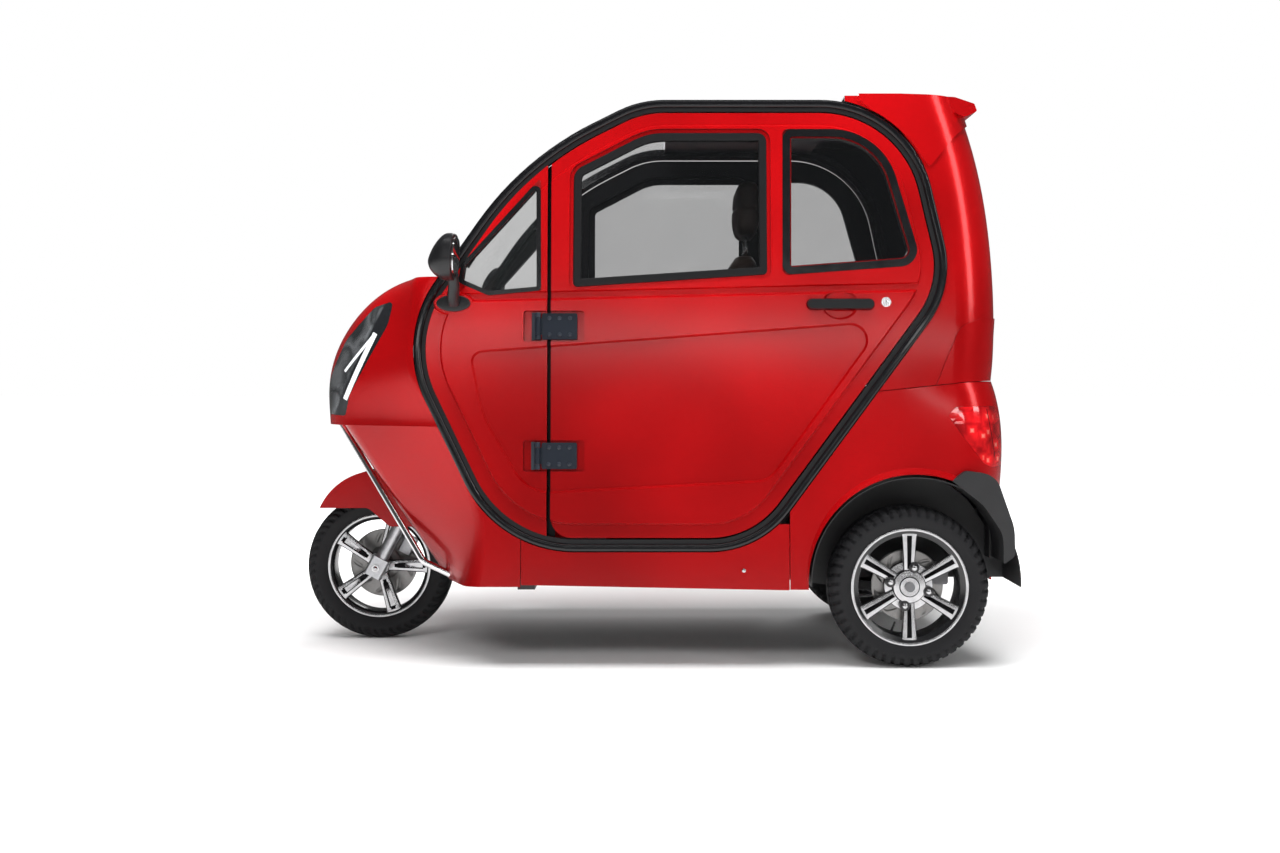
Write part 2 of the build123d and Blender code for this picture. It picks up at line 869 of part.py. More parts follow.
# Spoiler: a raised skin over the rear corner of the roof, ending in a lip
spoiler_proud = 7
with BuildPart() as rear_spoiler:
    add(lofted(rear_section, rear_upper_rows, -spoiler_proud, rise=spoiler_proud - 2))
    add(
        side_prism(
            [
                (roof_rear_x + 40, 1655, 0),
                (790, 1540, 60),
                (spoiler_root[0], spoiler_root[1], 10),
                (930, 1556, 60),
                (1100, 1690, 0),
                (roof_rear_x + 40, 1690, 0),
            ],
            -700,
            700,
        ),
        mode=Mode.INTERSECT,
    )
    add(
        side_prism(
            [
                (900, 1640, 0),
                (960, 1612, 20),
                (spoiler_tip[0], spoiler_tip[1], 5),
                (spoiler_top_rear[0], 1652, 6),
                (930, 1672, 40),
                (900, 1673, 0),
            ],
            -spoiler_half_width,
            spoiler_half_width,
        )
    )
    add(rear_high, mode=Mode.SUBTRACT)
    add(loop_prism, mode=Mode.SUBTRACT)
    add(frame_cut.part, mode=Mode.SUBTRACT)

# Sills under the doors
with BuildPart() as sills:
    with BuildSketch(at_side(-body_flush)):
        with BuildLine():
            closed_outline(
                [
                    (nose_back_x + 2, 246, 4),
                    (rear_low_front_x - 2, 231, 4),
                    (rear_low_front_x - 2, 420, 0),
                    (nose_back_x + 2, 420, 0),
                ]
            )
        make_face()
        with BuildLine():
            closed_outline(inset(loop_corners, -fit_gap))
        make_face(mode=Mode.SUBTRACT)
    extrude(amount=-42)
    mirror(about=Plane.XZ)

# Wheel liners: thin arched shells over all three wheels
with BuildPart() as wheel_liners:
    with BuildSketch(Plane.XZ.offset(-well_half_width + 4)):
        with Locations((front_axle_x, tyre_radius)):
            Circle(well_radius - fit_gap)
            Circle(well_radius - fit_gap - liner_wall, mode=Mode.SUBTRACT)
    extrude(amount=2 * well_half_width - 8)
    add(nose_lower, mode=Mode.INTERSECT)
    add(steering_hole.part, mode=Mode.SUBTRACT)
    with BuildSketch(Plane.XZ.offset(-liner_inner_y - 206)):
        with Locations(arch_centre):
            Circle(arch_radius - liner_gap)
            Circle(arch_radius - liner_gap - liner_wall, mode=Mode.SUBTRACT)
        with Locations((arch_centre[0], 0)):
            Rectangle(2000, 480, mode=Mode.SUBTRACT)
    extrude(amount=206)
    with BuildSketch(Plane.XZ.offset(-liner_inner_y - 3)):
        with Locations(arch_centre):
            Circle(arch_radius - liner_gap)
        with Locations((arch_centre[0], 0)):
            Rectangle(2000, 480, mode=Mode.SUBTRACT)
    extrude(amount=3)
    with BuildSketch(Plane.XZ.offset(liner_inner_y)):
        with Locations(arch_centre):
            Circle(arch_radius - liner_gap)
            Circle(arch_radius - liner_gap - liner_wall, mode=Mode.SUBTRACT)
        with Locations((arch_centre[0], 0)):
            Rectangle(2000, 480, mode=Mode.SUBTRACT)
    extrude(amount=206)
    with BuildSketch(Plane.XZ.offset(liner_inner_y)):
        with Locations(arch_centre):
            Circle(arch_radius - liner_gap)
        with Locations((arch_centre[0], 0)):
            Rectangle(2000, 480, mode=Mode.SUBTRACT)
    extrude(amount=3)

    add(side_prism(inset(arch_trim_corners, -fit_gap), -700, 700), mode=Mode.SUBTRACT)
    add(side_prism(inset(rear_bumper_corners, -fit_gap), -700, 700), mode=Mode.SUBTRACT)
    add(drum((rear_axle_x, tyre_radius + 10), 75, -400, 400), mode=Mode.SUBTRACT)
    add(cut_box(400, 1200, -700, 700, 0, 240), mode=Mode.SUBTRACT)

# Rear mudguards behind the wheels
with BuildPart() as arch_trims:
    for low, high in ((392, 541), (-541, -392)):
        add(side_prism(arch_trim_corners, low, high))

# Rear bumper strip between the mudguards
with BuildPart() as rear_bumper:
    with BuildSketch(Plane.XZ.offset(-391.7)):
        with BuildLine():
            closed_outline(rear_bumper_corners)
        make_face()
    extrude(amount=2 * 391.7)

# Rear wheels: revolved tyres, rims with six twin spokes and brake discs


def tyre(radius, seat, width, centre_x, centre_y, centre_z):
    """Tyre as a revolved section with a rounded tread and bulging walls."""
    half = width / 2
    with BuildPart() as body:
        with BuildSketch(Plane.XY):
            with BuildLine():
                closed_outline(
                    [
                        (seat, -half * 0.58, 0),
                        (seat + 22, -half * 0.8, 30),
                        ((radius + seat) / 2 + 4, -half, 30),
                        (radius - 14, -half * 0.93, 14),
                        (radius, -half * 0.6, 30),
                        (radius, half * 0.6, 30),
                        (radius - 14, half * 0.93, 14),
                        ((radius + seat) / 2 + 4, half, 30),
                        (seat + 22, half * 0.8, 30),
                        (seat, half * 0.58, 0),
                    ]
                )
            make_face()
        revolve(axis=Axis.Y)
    return body.part.moved(Location((centre_x, centre_y, centre_z)))


def rim(side, lip, seat, half, spokes, hub, bore, face_out):
    """Cast rim as a barrel with a pocketed disc of twin spokes near its outer face."""
    with BuildPart() as body:
        with BuildSketch(Plane.XY):
            with BuildLine():
                closed_outline(
                    [
                        (seat - rim_wall, -half + 12, 10),
                        (seat - rim_wall, half - 12, 10),
                        (lip - 6, half, 4),
                        (lip, half, 0),
                        (lip, half - 5, 3),
                        (seat - fit_gap, half - 12, 6),
                        (seat - fit_gap, -half + 12, 6),
                        (lip, -half + 5, 3),
                        (lip, -half, 0),
                        (lip - 6, -half, 4),
                    ]
                )
            make_face()
        revolve(axis=Axis.Y)
        with BuildSketch(Plane.XZ.offset(-side * face_out)):
            Circle(seat - rim_wall + 1)
        extrude(amount=side * 16)
        pocket_half = pi * (seat - 14) / spokes * 0.52
        slot_half = pocket_half * 0.3
        for start, foot_half, half_width, turn in (
            (hub + 12, 8, pocket_half, 0),
            (hub + 26, 4, slot_half, 180 / spokes),
        ):
            with BuildSketch(Plane.XZ.offset(-side * (face_out + 1)), mode=Mode.PRIVATE) as pocket:
                with BuildLine():
                    closed_outline(
                        [
                            (start, -foot_half, foot_half * 0.7),
                            (seat - 15, -half_width, min(7, half_width * 0.35)),
                            (seat - 9, 0, half_width * 0.7),
                            (seat - 15, half_width, min(7, half_width * 0.35)),
                            (start, foot_half, foot_half * 0.7),
                        ]
                    )
                make_face()
            with BuildSketch(Plane.XZ.offset(-side * (face_out + 1))):
                with PolarLocations(0, spokes, start_angle=turn):
                    add(pocket.sketch_local)
            extrude(amount=side * 30, mode=Mode.SUBTRACT)
        with BuildSketch(Plane.XZ.offset(-side * (face_out + 6))):
            Circle(hub)
        extrude(amount=side * 40)
        with BuildSketch(Plane.XZ.offset(-200)):
            Circle(bore)
        extrude(amount=400, mode=Mode.SUBTRACT)
    return body.part


with BuildPart() as rear_tyre_left:
    add(tyre(tyre_radius, rim_seat_radius, rear_tyre_width, rear_axle_x, -rear_wheel_y, tyre_radius))
with BuildPart() as rear_rim_left:
    add(rim(-1, rim_lip_radius, rim_seat_radius, 55, 6, 42, axle_radius + axle_clearance, 44))
    with BuildSketch(Plane.XZ.offset(rear_disc_inset - 62)):
        Circle(60)
        Circle(axle_radius + axle_clearance, mode=Mode.SUBTRACT)
    extrude(amount=26)
    with BuildSketch(Plane.XZ.offset(rear_disc_inset - 62)):
        Circle(rear_disc_radius)
        Circle(axle_radius + axle_clearance, mode=Mode.SUBTRACT)
    extrude(amount=5)
rear_rim_left.part = rear_rim_left.part.moved(Location((rear_axle_x, -rear_wheel_y, tyre_radius)))

# Front wheel
with BuildPart() as front_tyre:
    add(tyre(tyre_radius, rim_seat_radius, front_tyre_width, front_axle_x, 0, tyre_radius))
with BuildPart() as front_rim:
    add(rim(-1, front_lip_radius, rim_seat_radius, 42, 5, 30, front_axle_radius + axle_clearance, 12))
    with BuildSketch(Plane.XZ.offset(-front_disc_y - 2)):
        Circle(front_disc_radius)
        Circle(front_axle_radius + axle_clearance, mode=Mode.SUBTRACT)
    extrude(amount=4)
    with BuildSketch(Plane.XZ.offset(-front_disc_y)):
        Circle(45)
        Circle(front_axle_radius + axle_clearance, mode=Mode.SUBTRACT)
    extrude(amount=2 * front_disc_y)
front_rim.part = front_rim.part.moved(Location((front_axle_x, 0, tyre_radius)))

# Fork: axle, two telescopic legs, crown and stem
with BuildPart() as fork:
    with BuildSketch(Plane.XZ.offset(-fork_leg_y - 24)):
        with Locations((front_axle_x, tyre_radius)):
            Circle(front_axle_radius)
    extrude(amount=2 * (fork_leg_y + 24))
    for side in (-1, 1):
        with BuildSketch(steer_plane.offset(-22)):
            with Locations((0, side * fork_leg_y)):
                Circle(fork_slider_radius)
        extrude(amount=fork_slider_top + 22)
        with BuildSketch(steer_plane.offset(fork_slider_top)):
            with Locations((0, side * fork_leg_y)):
                Circle(fork_tube_radius)
        extrude(amount=clamp_height + clamp_thickness + 8 - fork_slider_top)
        with BuildSketch(steer_plane.offset(-30)):
            with Locations((0, side * (fork_leg_y + 4))):
                RectangleRounded(58, 42, 8)
        extrude(amount=64)
    with BuildSketch(steer_plane.offset(caliper_span[0])):
        with Locations((42, (caliper_inner_y + fork_leg_y) / 2)):
            RectangleRounded(46, fork_leg_y - caliper_inner_y, 6)
    extrude(amount=caliper_span[1] - caliper_span[0])
    with BuildSketch(steer_plane.offset(caliper_span[0])):
        with Locations((14, fork_leg_y)):
            Rectangle(40, 24)
    extrude(amount=caliper_span[1] - caliper_span[0])
    add(
        drum((front_axle_x, tyre_radius), front_disc_radius + 2, front_disc_y - 3, front_disc_y + 3),
        mode=Mode.SUBTRACT,
    )
    with BuildSketch(steer_plane.offset(clamp_height)):
        SlotOverall(2 * fork_leg_y + 2 * fork_tube_radius + 16, 56, rotation=90)
    extrude(amount=clamp_thickness)
    with BuildSketch(steer_plane.offset(clamp_height)):
        Circle(stem_radius)
    extrude(amount=stem_top - clamp_height)

# Handlebar with grips, clamped on the stem
with BuildPart() as handlebar:
    with BuildLine() as bar_line:
        FilletPolyline(
            steer_plane.from_local_coords((bar_sweep, -bar_half_width, bar_height)),
            steer_plane.from_local_coords((0, -bar_half_width + 130, bar_height)),
            steer_plane.from_local_coords((0, bar_half_width - 130, bar_height)),
            steer_plane.from_local_coords((bar_sweep, bar_half_width, bar_height)),
            radius=60,
        )
    with BuildSketch(Plane(origin=bar_line.line @ 0, z_dir=bar_line.line % 0)):
        Circle(bar_radius)
    sweep()
    for start, along in (
        (bar_line.line @ 0, bar_line.line % 0),
        (bar_line.line @ 1, -(bar_line.line % 1)),
    ):
        with BuildSketch(Plane(origin=start, z_dir=along)):
            Circle(grip_radius)
        extrude(amount=grip_length)
    with BuildSketch(steer_plane.offset(bar_height - 34)):
        RectangleRounded(54, 70, 12)
    extrude(amount=60)
    with BuildSketch(steer_plane.offset(bar_height - 60)):
        Circle(stem_radius + 6)
    extrude(amount=30)
    with BuildSketch(steer_plane.offset(bar_height - 80)):
        Circle(stem_radius + fit_gap)
    extrude(amount=stem_top - bar_height + 80 + fit_gap, mode=Mode.SUBTRACT)

# Front mudguard: arched top with side walls, gripping the fork legs
with BuildPart() as front_mudguard:
    with BuildSketch(Plane.XZ.offset(-mudguard_half_width)):
        with Locations(mudguard_centre):
            Circle(mudguard_radius)
        with BuildLine():
            closed_outline(
                [
                    (-1100, 427, 0),
                    (-868, 427, 25),
                    (-800, 368, 25),
                    (-600, 368, 0),
                    (-600, 700, 0),
                    (-1100, 700, 0),
                ]
            )
        make_face(mode=Mode.INTERSECT)
    extrude(amount=2 * mudguard_half_width)
    with BuildSketch(Plane.XZ.offset(mudguard_wall - mudguard_half_width)):
        with Locations(mudguard_centre):
            Circle(mudguard_radius - mudguard_wall)
    extrude(amount=2 * (mudguard_half_width - mudguard_wall), mode=Mode.SUBTRACT)
    for side in (-1, 1):
        with BuildSketch(steer_plane):
            with Locations((0, side * fork_leg_y)):
                Circle(fork_slider_radius + fit_gap)
        extrude(amount=500, mode=Mode.SUBTRACT)

# Chassis: rails, cross members, rear kick-up, steering head with its down tubes
rail_rear_x = 520
kick_top = 440
chassis_rear_x = 1036
with BuildPart() as chassis_frame:
    for side in (-1, 1):
        with BuildSketch(Plane.XZ.offset(-side * rail_y - rail_size / 2)):
            with BuildLine():
                closed_outline(
                    [
                        (-470, rail_top - rail_size, 4),
                        (rail_rear_x, rail_top - rail_size, 60),
                        (640, kick_top - rail_size, 60),
                        (chassis_rear_x, kick_top - rail_size, 4),
                        (chassis_rear_x, kick_top, 4),
                        (640 - 14, kick_top, 40),
                        (rail_rear_x - 14, rail_top, 40),
                        (-470, rail_top, 4),
                    ]
                )
            make_face()
        extrude(amount=rail_size)
    for x, z in ((-450, rail_top), (0, rail_top), (430, rail_top), (660, kick_top), (1016, kick_top)):
        with BuildSketch(Plane.XY.offset(z - rail_size)):
            with Locations((x, 0)):
                Rectangle(rail_size, 2 * rail_y)
        extrude(amount=rail_size)
    for x in (-330, 380):
        with BuildSketch(Plane.XY.offset(rail_top - rail_size + 4)):
            with Locations((x, 0)):
                Rectangle(50, 2 * (side_half_width(240) - 48))
        extrude(amount=rail_size - 8)
    with BuildSketch(steer_plane.offset(head_tube_span[0])):
        Circle(head_tube_radius)
    extrude(amount=head_tube_span[1] - head_tube_span[0])
    for side in (-1, 1):
        top = steer_plane.from_local_coords((10, side * 12, (head_tube_span[0] + head_tube_span[1]) / 2))
        foot = Vector(-450, side * (rail_y - 10), rail_top - 14)
        with BuildSketch(Plane(origin=foot, z_dir=top - foot)):
            Circle(15)
        extrude(amount=(top - foot).length)
    with BuildSketch(steer_plane.offset(head_tube_span[0] - 1)):
        Circle(stem_radius + 0.05)
    extrude(amount=head_tube_span[1] - head_tube_span[0] + 2, mode=Mode.SUBTRACT)

# Floor pan with a bulkhead in front and the rear deck behind
with BuildPart() as floor_pan:
    with BuildSketch(Plane.XZ.offset(-floor_half_width)):
        with BuildLine():
            closed_outline(
                [
                    (-470, floor_top - floor_sheet, 40),
                    (540, floor_top - floor_sheet, 0),
                    (540, floor_top, 0),
                    (-468, floor_top, 36),
                    (-646, 690, 0),
                    (-650, 688, 0),
                ]
            )
        make_face()
    extrude(amount=2 * floor_half_width)
    with BuildSketch(Plane.YZ.offset(-720)):
        with Locations((0, steering_notch_bottom + 150)):
            Rectangle(2 * steering_hole_radius, 300)
    extrude(amount=250, mode=Mode.SUBTRACT)
    with BuildPart(mode=Mode.PRIVATE) as outside_nose:
        add(cut_box(-720, -480, -620, 620, 300, 720))
        add(nose_lower_trim, mode=Mode.SUBTRACT)
    add(outside_nose.part, mode=Mode.SUBTRACT)
    with BuildSketch(Plane.XY.offset(floor_top)):
        with Locations((foot_panel_centre_x, 0)):
            RectangleRounded(*foot_panel_size, 30)
    extrude(amount=foot_panel_rise)
    for low, high in ((liner_inner_y - 1, 600), (-600, 1 - liner_inner_y)):
        add(cut_box(478, 600, low, high, 200, 300), mode=Mode.SUBTRACT)
    add(chassis_frame.part, mode=Mode.SUBTRACT)

# Rear deck over the axle and the seat plinth
with BuildPart() as rear_deck:
    with BuildSketch(Plane.XZ.offset(-deck_half_width)):
        with BuildLine():
            closed_outline(
                [
                    (540.3, floor_top - floor_sheet, 0),
                    (544.3, floor_top - floor_sheet, 0),
                    (544.3, deck_height - floor_sheet, 0),
                    (1020, deck_height - floor_sheet, 0),
                    (1020, deck_height, 0),
                    (540.3, deck_height, 0),
                ]
            )
        make_face()
    extrude(amount=2 * deck_half_width)
    add(chassis_frame.part, mode=Mode.SUBTRACT)

with BuildPart() as seat_base:
    with BuildSketch(Plane.XY.offset(floor_top)):
        with Locations((110, 0)):
            RectangleRounded(440, 620, 40)
    extrude(amount=200, taper=3)
    with BuildSketch(Plane.XY.offset(floor_top - 1)):
        with Locations((110, 0)):
            RectangleRounded(432, 612, 36)
    extrude(amount=190, taper=3, mode=Mode.SUBTRACT)
with BuildPart() as battery_pack:
    with BuildSketch(Plane.XY.offset(floor_top)):
        with Locations((110, 0)):
            RectangleRounded(360, 540, 10)
    extrude(amount=170)
with BuildPart() as driver_seat_cushion:
    with BuildSketch(Plane.XY.offset(floor_top + 200.3)):
        with Locations((120, 0)):
            RectangleRounded(450, 520, 60)
    extrude(amount=110)
    fillet(driver_seat_cushion.edges().group_by(Axis.Z)[-1], radius=30)
with BuildPart() as driver_backrest:
    with BuildSketch(Plane.XZ.offset(-250)):
        with BuildLine():
            closed_outline(
                [
                    (250, 577, 20),
                    (330, 577, 20),
                    (396, 1252, 40),
                    (286, 1252, 40),
                    (232, 760, 200),
                ]
            )
        make_face()
    extrude(amount=500)
    with BuildSketch(Plane.XZ.offset(-130)):
        with BuildLine():
            closed_outline([(292, 1280, 20), (384, 1280, 20), (392, 1487, 34), (300, 1487, 34)])
        make_face()
    extrude(amount=260)
    with BuildSketch(Plane.XY.offset(1200)):
        with Locations((338, -60), (338, 60)):
            Circle(6)
    extrude(amount=140)
with BuildPart() as rear_bench_cushion:
    with BuildSketch(Plane.XY.offset(deck_height + fit_gap)):
        with Locations((735, 0)):
            RectangleRounded(330, 640, 50)
    extrude(amount=110)
    fillet(rear_bench_cushion.edges().group_by(Axis.Z)[-1], radius=30)
with BuildPart() as rear_backrest:
    with BuildSketch(Plane.XZ.offset(-320)):
        with BuildLine():
            closed_outline(
                [(901, deck_height + fit_gap, 10), (990, deck_height + fit_gap, 10), (1004, 1080, 30), (914, 1080, 30)]
            )
        make_face()
    extrude(amount=640)

# Dashboard
with BuildPart() as dashboard:
    with BuildSketch(Plane.XZ.offset(-520)):
        with BuildLine():
            closed_outline(
                [
                    (-636, 880, 20),
                    (-576, 880, 20),
                    (-568, 1005, 30),
                    (-620, 1098, 15),
                    (-668, 1040, 8),
                ]
            )
        make_face()
    extrude(amount=1040)
    add(between_frames.part, mode=Mode.INTERSECT)

# Rear axle with motor, and its suspension
with BuildPart() as rear_axle:
    with BuildSketch(Plane.XZ.offset(-rear_wheel_outer_y + 2)):
        with Locations((rear_axle_x, tyre_radius)):
            Circle(axle_radius)
    extrude(amount=2 * (rear_wheel_outer_y - 2))
    with BuildSketch(Plane.XZ.offset(-rear_plate_y - 8)):
        with Locations((rear_axle_x, tyre_radius)):
            Circle(30)
    extrude(amount=2 * rear_plate_y + 16)
    for low, high in ((rear_plate_y, rear_plate_y + 8), (-rear_plate_y - 8, -rear_plate_y)):
        add(drum((rear_axle_x, tyre_radius), 48, low, high))
        add(
            cut_box(
                rear_axle_x + 30,
                rear_axle_x + 118,
                low,
                high,
                tyre_radius + 5,
                tyre_radius + 62,
            )
        )
    for low, high in ((rear_plate_y, rear_wheel_y + 18), (-rear_wheel_y - 18, -rear_plate_y)):
        with BuildSketch(Plane.XZ.offset(-high)):
            with Locations((rear_axle_x + 96, tyre_radius + 34)):
                RectangleRounded(44, 62, 8)
        extrude(amount=high - low)
    for low, high in ((rear_disc_y - 1, rear_disc_y + 6), (-rear_disc_y - 6, 1 - rear_disc_y)):
        add(drum((rear_axle_x, tyre_radius), rear_disc_radius + 2, low, high), mode=Mode.SUBTRACT)
        add(drum((rear_axle_x, tyre_radius), axle_radius, low - 1, high + 1))
    with BuildSketch(Plane.XZ.offset(-60)):
        with Locations((rear_axle_x, tyre_radius)):
            Circle(95)
    extrude(amount=120)
    with BuildSketch(Plane.XZ.offset(60)):
        with Locations((rear_axle_x - 60, tyre_radius + 20)):
            Circle(70)
    extrude(amount=125)
with BuildPart() as rear_suspension:
    for side in (-1, 1):
        with BuildSketch(Plane.XY.offset(tyre_radius + 30 + fit_gap)):
            with Locations((rear_axle_x, side * 300)):
                Circle(21)
        extrude(amount=deck_height - floor_sheet - 2 * fit_gap - tyre_radius - 30)
        with BuildSketch(Plane.XZ.offset(-side * (rail_y - rail_size / 2 - 20 - fit_gap) - 20)):
            with BuildLine():
                closed_outline(
                    [(470, 215, 4), (rear_axle_x, tyre_radius - 60, 6), (rear_axle_x, tyre_radius - 30.6, 6), (470, 240, 4)]
                )
            make_face()
        extrude(amount=40)

# Quarter panes and the fixed halves of the hinges
with BuildPart() as quarter_glasses:
    with BuildSketch(at_side(pane_tops - glass_thickness)):
        with BuildLine():
            closed_outline(quarter_pane_corners)
        make_face()
    extrude(amount=glass_thickness)
    mirror(about=Plane.XZ)
with BuildPart() as hinge_brackets:
    for height in hinge_heights:
        with BuildSketch(at_side(panel_out - 6 + fit_gap)):
            with Locations((hinge_line_x - 14, height)):
                Rectangle(10, 80)
            for end in (-1, 1):
                with Locations((hinge_line_x - 5, height + end * 32)):
                    Rectangle(16, 14)
        extrude(amount=12)
        for end in (25, -39):
            with BuildSketch(hinge_plane(height + end)):
                Circle(hinge_barrel_radius)
            extrude(amount=14)
        with BuildSketch(hinge_plane(height - 39)):
            Circle(hinge_pin_radius)
        extrude(amount=78)
    mirror(about=Plane.XZ)

# Chrome bumper bar in front of the leg shield
with BuildPart() as bumper_bar:
    for side in (-1, 1):
        with BuildLine() as guard_line:
            FilletPolyline(
                (-918, side * 250, 700),
                (-640, side * 420, 298),
                (-565, side * 400, 258),
                radius=30,
            )
        with BuildSketch(Plane(origin=guard_line.line @ 0, z_dir=guard_line.line % 0)):
            Circle(10)
        sweep()
    add(nose_lower, mode=Mode.SUBTRACT)
    add(nose_upper, mode=Mode.SUBTRACT)

# Door mirrors on the quarter panels
with BuildPart() as mirrors:
    with BuildSketch(at_side(mirror_pad_out)):
        with Locations(mirror_base_centre):
            Ellipse(mirror_base_size[0] / 2, mirror_base_size[1] / 2)
    extrude(amount=8)
    with BuildSketch(at_side(mirror_pad_out + 4)):
        with Locations((-537, 1066)):
            SlotOverall(50, 24)
    extrude(amount=62)
    with BuildSketch(at_side(60)):
        with BuildLine():
            closed_outline(
                [
                    (-548, 1056, 6),
                    (-520, 1056, 6),
                    (-507, 1160, 20),
                    (-520, 1250, 12),
                    (-552, 1250, 18),
                    (-594, 1164, 20),
                    (-562, 1130, 10),
                ]
            )
        make_face()
    extrude(amount=mirror_housing_depth)
    mirror(about=Plane.XZ)

# Wiper on the windscreen
with BuildPart() as wiper:
    with BuildLine() as wiper_line:
        Polyline((-652, -60, 1143.2), (-606, -84, 1150), (-360, -150, 1496))
    with BuildSketch(Plane(origin=wiper_line.line @ 0, z_dir=wiper_line.line % 0)):
        Circle(7)
    sweep(transition=Transition.ROUND)

with BuildPart() as door_panel_right:
    add(door_panel_left.part.mirror(Plane.XZ))
with BuildPart() as door_glass_right:
    add(door_glass_left.part.mirror(Plane.XZ))
with BuildPart() as door_trim_right:
    add(door_trim_left.part.mirror(Plane.XZ))
with BuildPart() as rear_tyre_right:
    add(rear_tyre_left.part.mirror(Plane.XZ))
with BuildPart() as rear_rim_right:
    add(rear_rim_left.part.mirror(Plane.XZ))

os.makedirs("parts", exist_ok=True)
for name, node in (
    ("chassis_frame", chassis_frame),
    ("floor_pan", floor_pan),
    ("rear_deck", rear_deck),
    ("side_frames", side_frames),
    ("roof_panel", roof_panel),
    ("windscreen", windscreen),
    ("nose_shell", nose_shell),
    ("quarter_panels", quarter_panels),
    ("quarter_glasses", quarter_glasses),
    ("hinge_brackets", hinge_brackets),
    ("rear_upper_shell", rear_upper_shell),
    ("rear_glass", rear_glass),
    ("rear_spoiler", rear_spoiler),
    ("rear_lower_body", rear_lower_body),
    ("arch_trims", arch_trims),
    ("rear_bumper", rear_bumper),
    ("sills", sills),
    ("wheel_liners", wheel_liners),
    ("headlamps", headlamps),
    ("tail_lamps", tail_lamps),
    ("bumper_bar", bumper_bar),
    ("mirrors", mirrors),
    ("wiper", wiper),
    ("dashboard", dashboard),
    ("seat_base", seat_base),
    ("battery_pack", battery_pack),
    ("driver_seat_cushion", driver_seat_cushion),
    ("driver_backrest", driver_backrest),
    ("rear_bench_cushion", rear_bench_cushion),
    ("rear_backrest", rear_backrest),
    ("rear_axle", rear_axle),
    ("rear_suspension", rear_suspension),
    ("fork", fork),
    ("handlebar", handlebar),
    ("front_mudguard", front_mudguard),
    ("front_tyre", front_tyre),
    ("front_rim", front_rim),
    ("rear_tyre_left", rear_tyre_left),
    ("rear_tyre_right", rear_tyre_right),
    ("rear_rim_left", rear_rim_left),
    ("rear_rim_right", rear_rim_right),
    ("door_panel_left", door_panel_left),
    ("door_panel_right", door_panel_right),
    ("door_glass_left", door_glass_left),
    ("door_glass_right", door_glass_right),
    ("door_trim_left", door_trim_left),
    ("door_trim_right", door_trim_right),
):
    node.part.label = name
    export_step(node.part, f"parts/{name}.step")
    print(name, round(node.part.volume / 1e6, 3), node.part.is_valid, len(node.part.solids()))
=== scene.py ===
import json
import math
import bmesh
import bpy
import numpy as np
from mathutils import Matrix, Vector


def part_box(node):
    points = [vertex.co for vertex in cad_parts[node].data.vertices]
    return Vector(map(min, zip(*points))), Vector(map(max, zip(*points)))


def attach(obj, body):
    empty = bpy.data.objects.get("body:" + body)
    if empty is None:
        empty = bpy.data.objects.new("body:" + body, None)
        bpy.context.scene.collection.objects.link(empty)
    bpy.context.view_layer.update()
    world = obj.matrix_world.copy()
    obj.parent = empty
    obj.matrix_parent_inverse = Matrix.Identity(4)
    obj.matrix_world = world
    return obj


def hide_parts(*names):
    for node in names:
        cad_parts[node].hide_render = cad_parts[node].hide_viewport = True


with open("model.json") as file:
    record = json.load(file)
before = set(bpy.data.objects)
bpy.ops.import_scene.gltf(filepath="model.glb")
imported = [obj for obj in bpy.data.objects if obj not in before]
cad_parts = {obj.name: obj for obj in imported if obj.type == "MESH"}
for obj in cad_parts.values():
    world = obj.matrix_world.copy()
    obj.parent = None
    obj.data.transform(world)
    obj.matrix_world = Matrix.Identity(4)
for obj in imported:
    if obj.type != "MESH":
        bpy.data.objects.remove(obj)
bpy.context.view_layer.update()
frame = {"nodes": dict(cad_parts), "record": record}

nodes = frame["nodes"]
print("frame loaded:", len(nodes), "nodes")

# shared places: the wheel centres, and the side plane by its lean and its half width on the ground
frontCentre = (-0.845, 0, 0.235)
rearCentre = (0.783, 0.4525, 0.235)
sideLean = math.radians(3.05)
groundHalf = 0.535 + 0.33 * math.tan(sideLean)


def link(value, socket):
    # a socket is linked to the other, a number or a colour is set there
    if isinstance(value, bpy.types.NodeSocket):
        value.id_data.links.new(value, socket)
    else:
        socket.default_value = (*value, 1) if isinstance(value, tuple) else value


def newMaterial(name, colour, rough, metal=0.0, coat=0.0, coatRough=0.05, specular=0.5):
    mat = bpy.data.materials.new(name)
    mat.use_nodes = True
    shader = mat.node_tree.nodes["Principled BSDF"]
    keys = ("Base Color", "Roughness", "Metallic", "Coat Weight", "Coat Roughness", "Specular IOR Level")
    for key, value in zip(keys, (colour, rough, metal, coat, coatRough, specular)):
        link(value, shader.inputs[key])
    return mat, shader


def addNode(owner, kind, **values):
    # owner is a material or world, or a node or socket of its tree
    tree = getattr(owner, "node_tree", None) or owner.id_data
    node = tree.nodes.new("ShaderNode" + kind)
    for key, value in values.items():
        if hasattr(node, key):
            setattr(node, key, value)
        else:
            node.inputs[key].default_value = value
    return node


def objectNoise(mat, scale, detail=3.0, rough=0.5, stretch=(1, 1, 1)):
    # noise on Object coordinates, so it stays put on the piece
    coords = addNode(mat, "TexCoord")
    mapping = addNode(mat, "Mapping", Scale=stretch)
    link(coords.outputs["Object"], mapping.inputs["Vector"])
    noise = addNode(mat, "TexNoise", Scale=scale, Detail=detail, Roughness=rough)
    link(mapping.outputs["Vector"], noise.inputs["Vector"])
    return noise.outputs["Fac"]


def rampColour(source, stops):
    ramp = addNode(source, "ValToRGB")
    elements = ramp.color_ramp.elements
    while len(elements) < len(stops):
        elements.new(0.5)
    for element, (place, colour) in zip(elements, stops):
        element.position = place
        element.color = (*colour, 1)
    link(source, ramp.inputs["Fac"])
    return ramp.outputs["Color"]


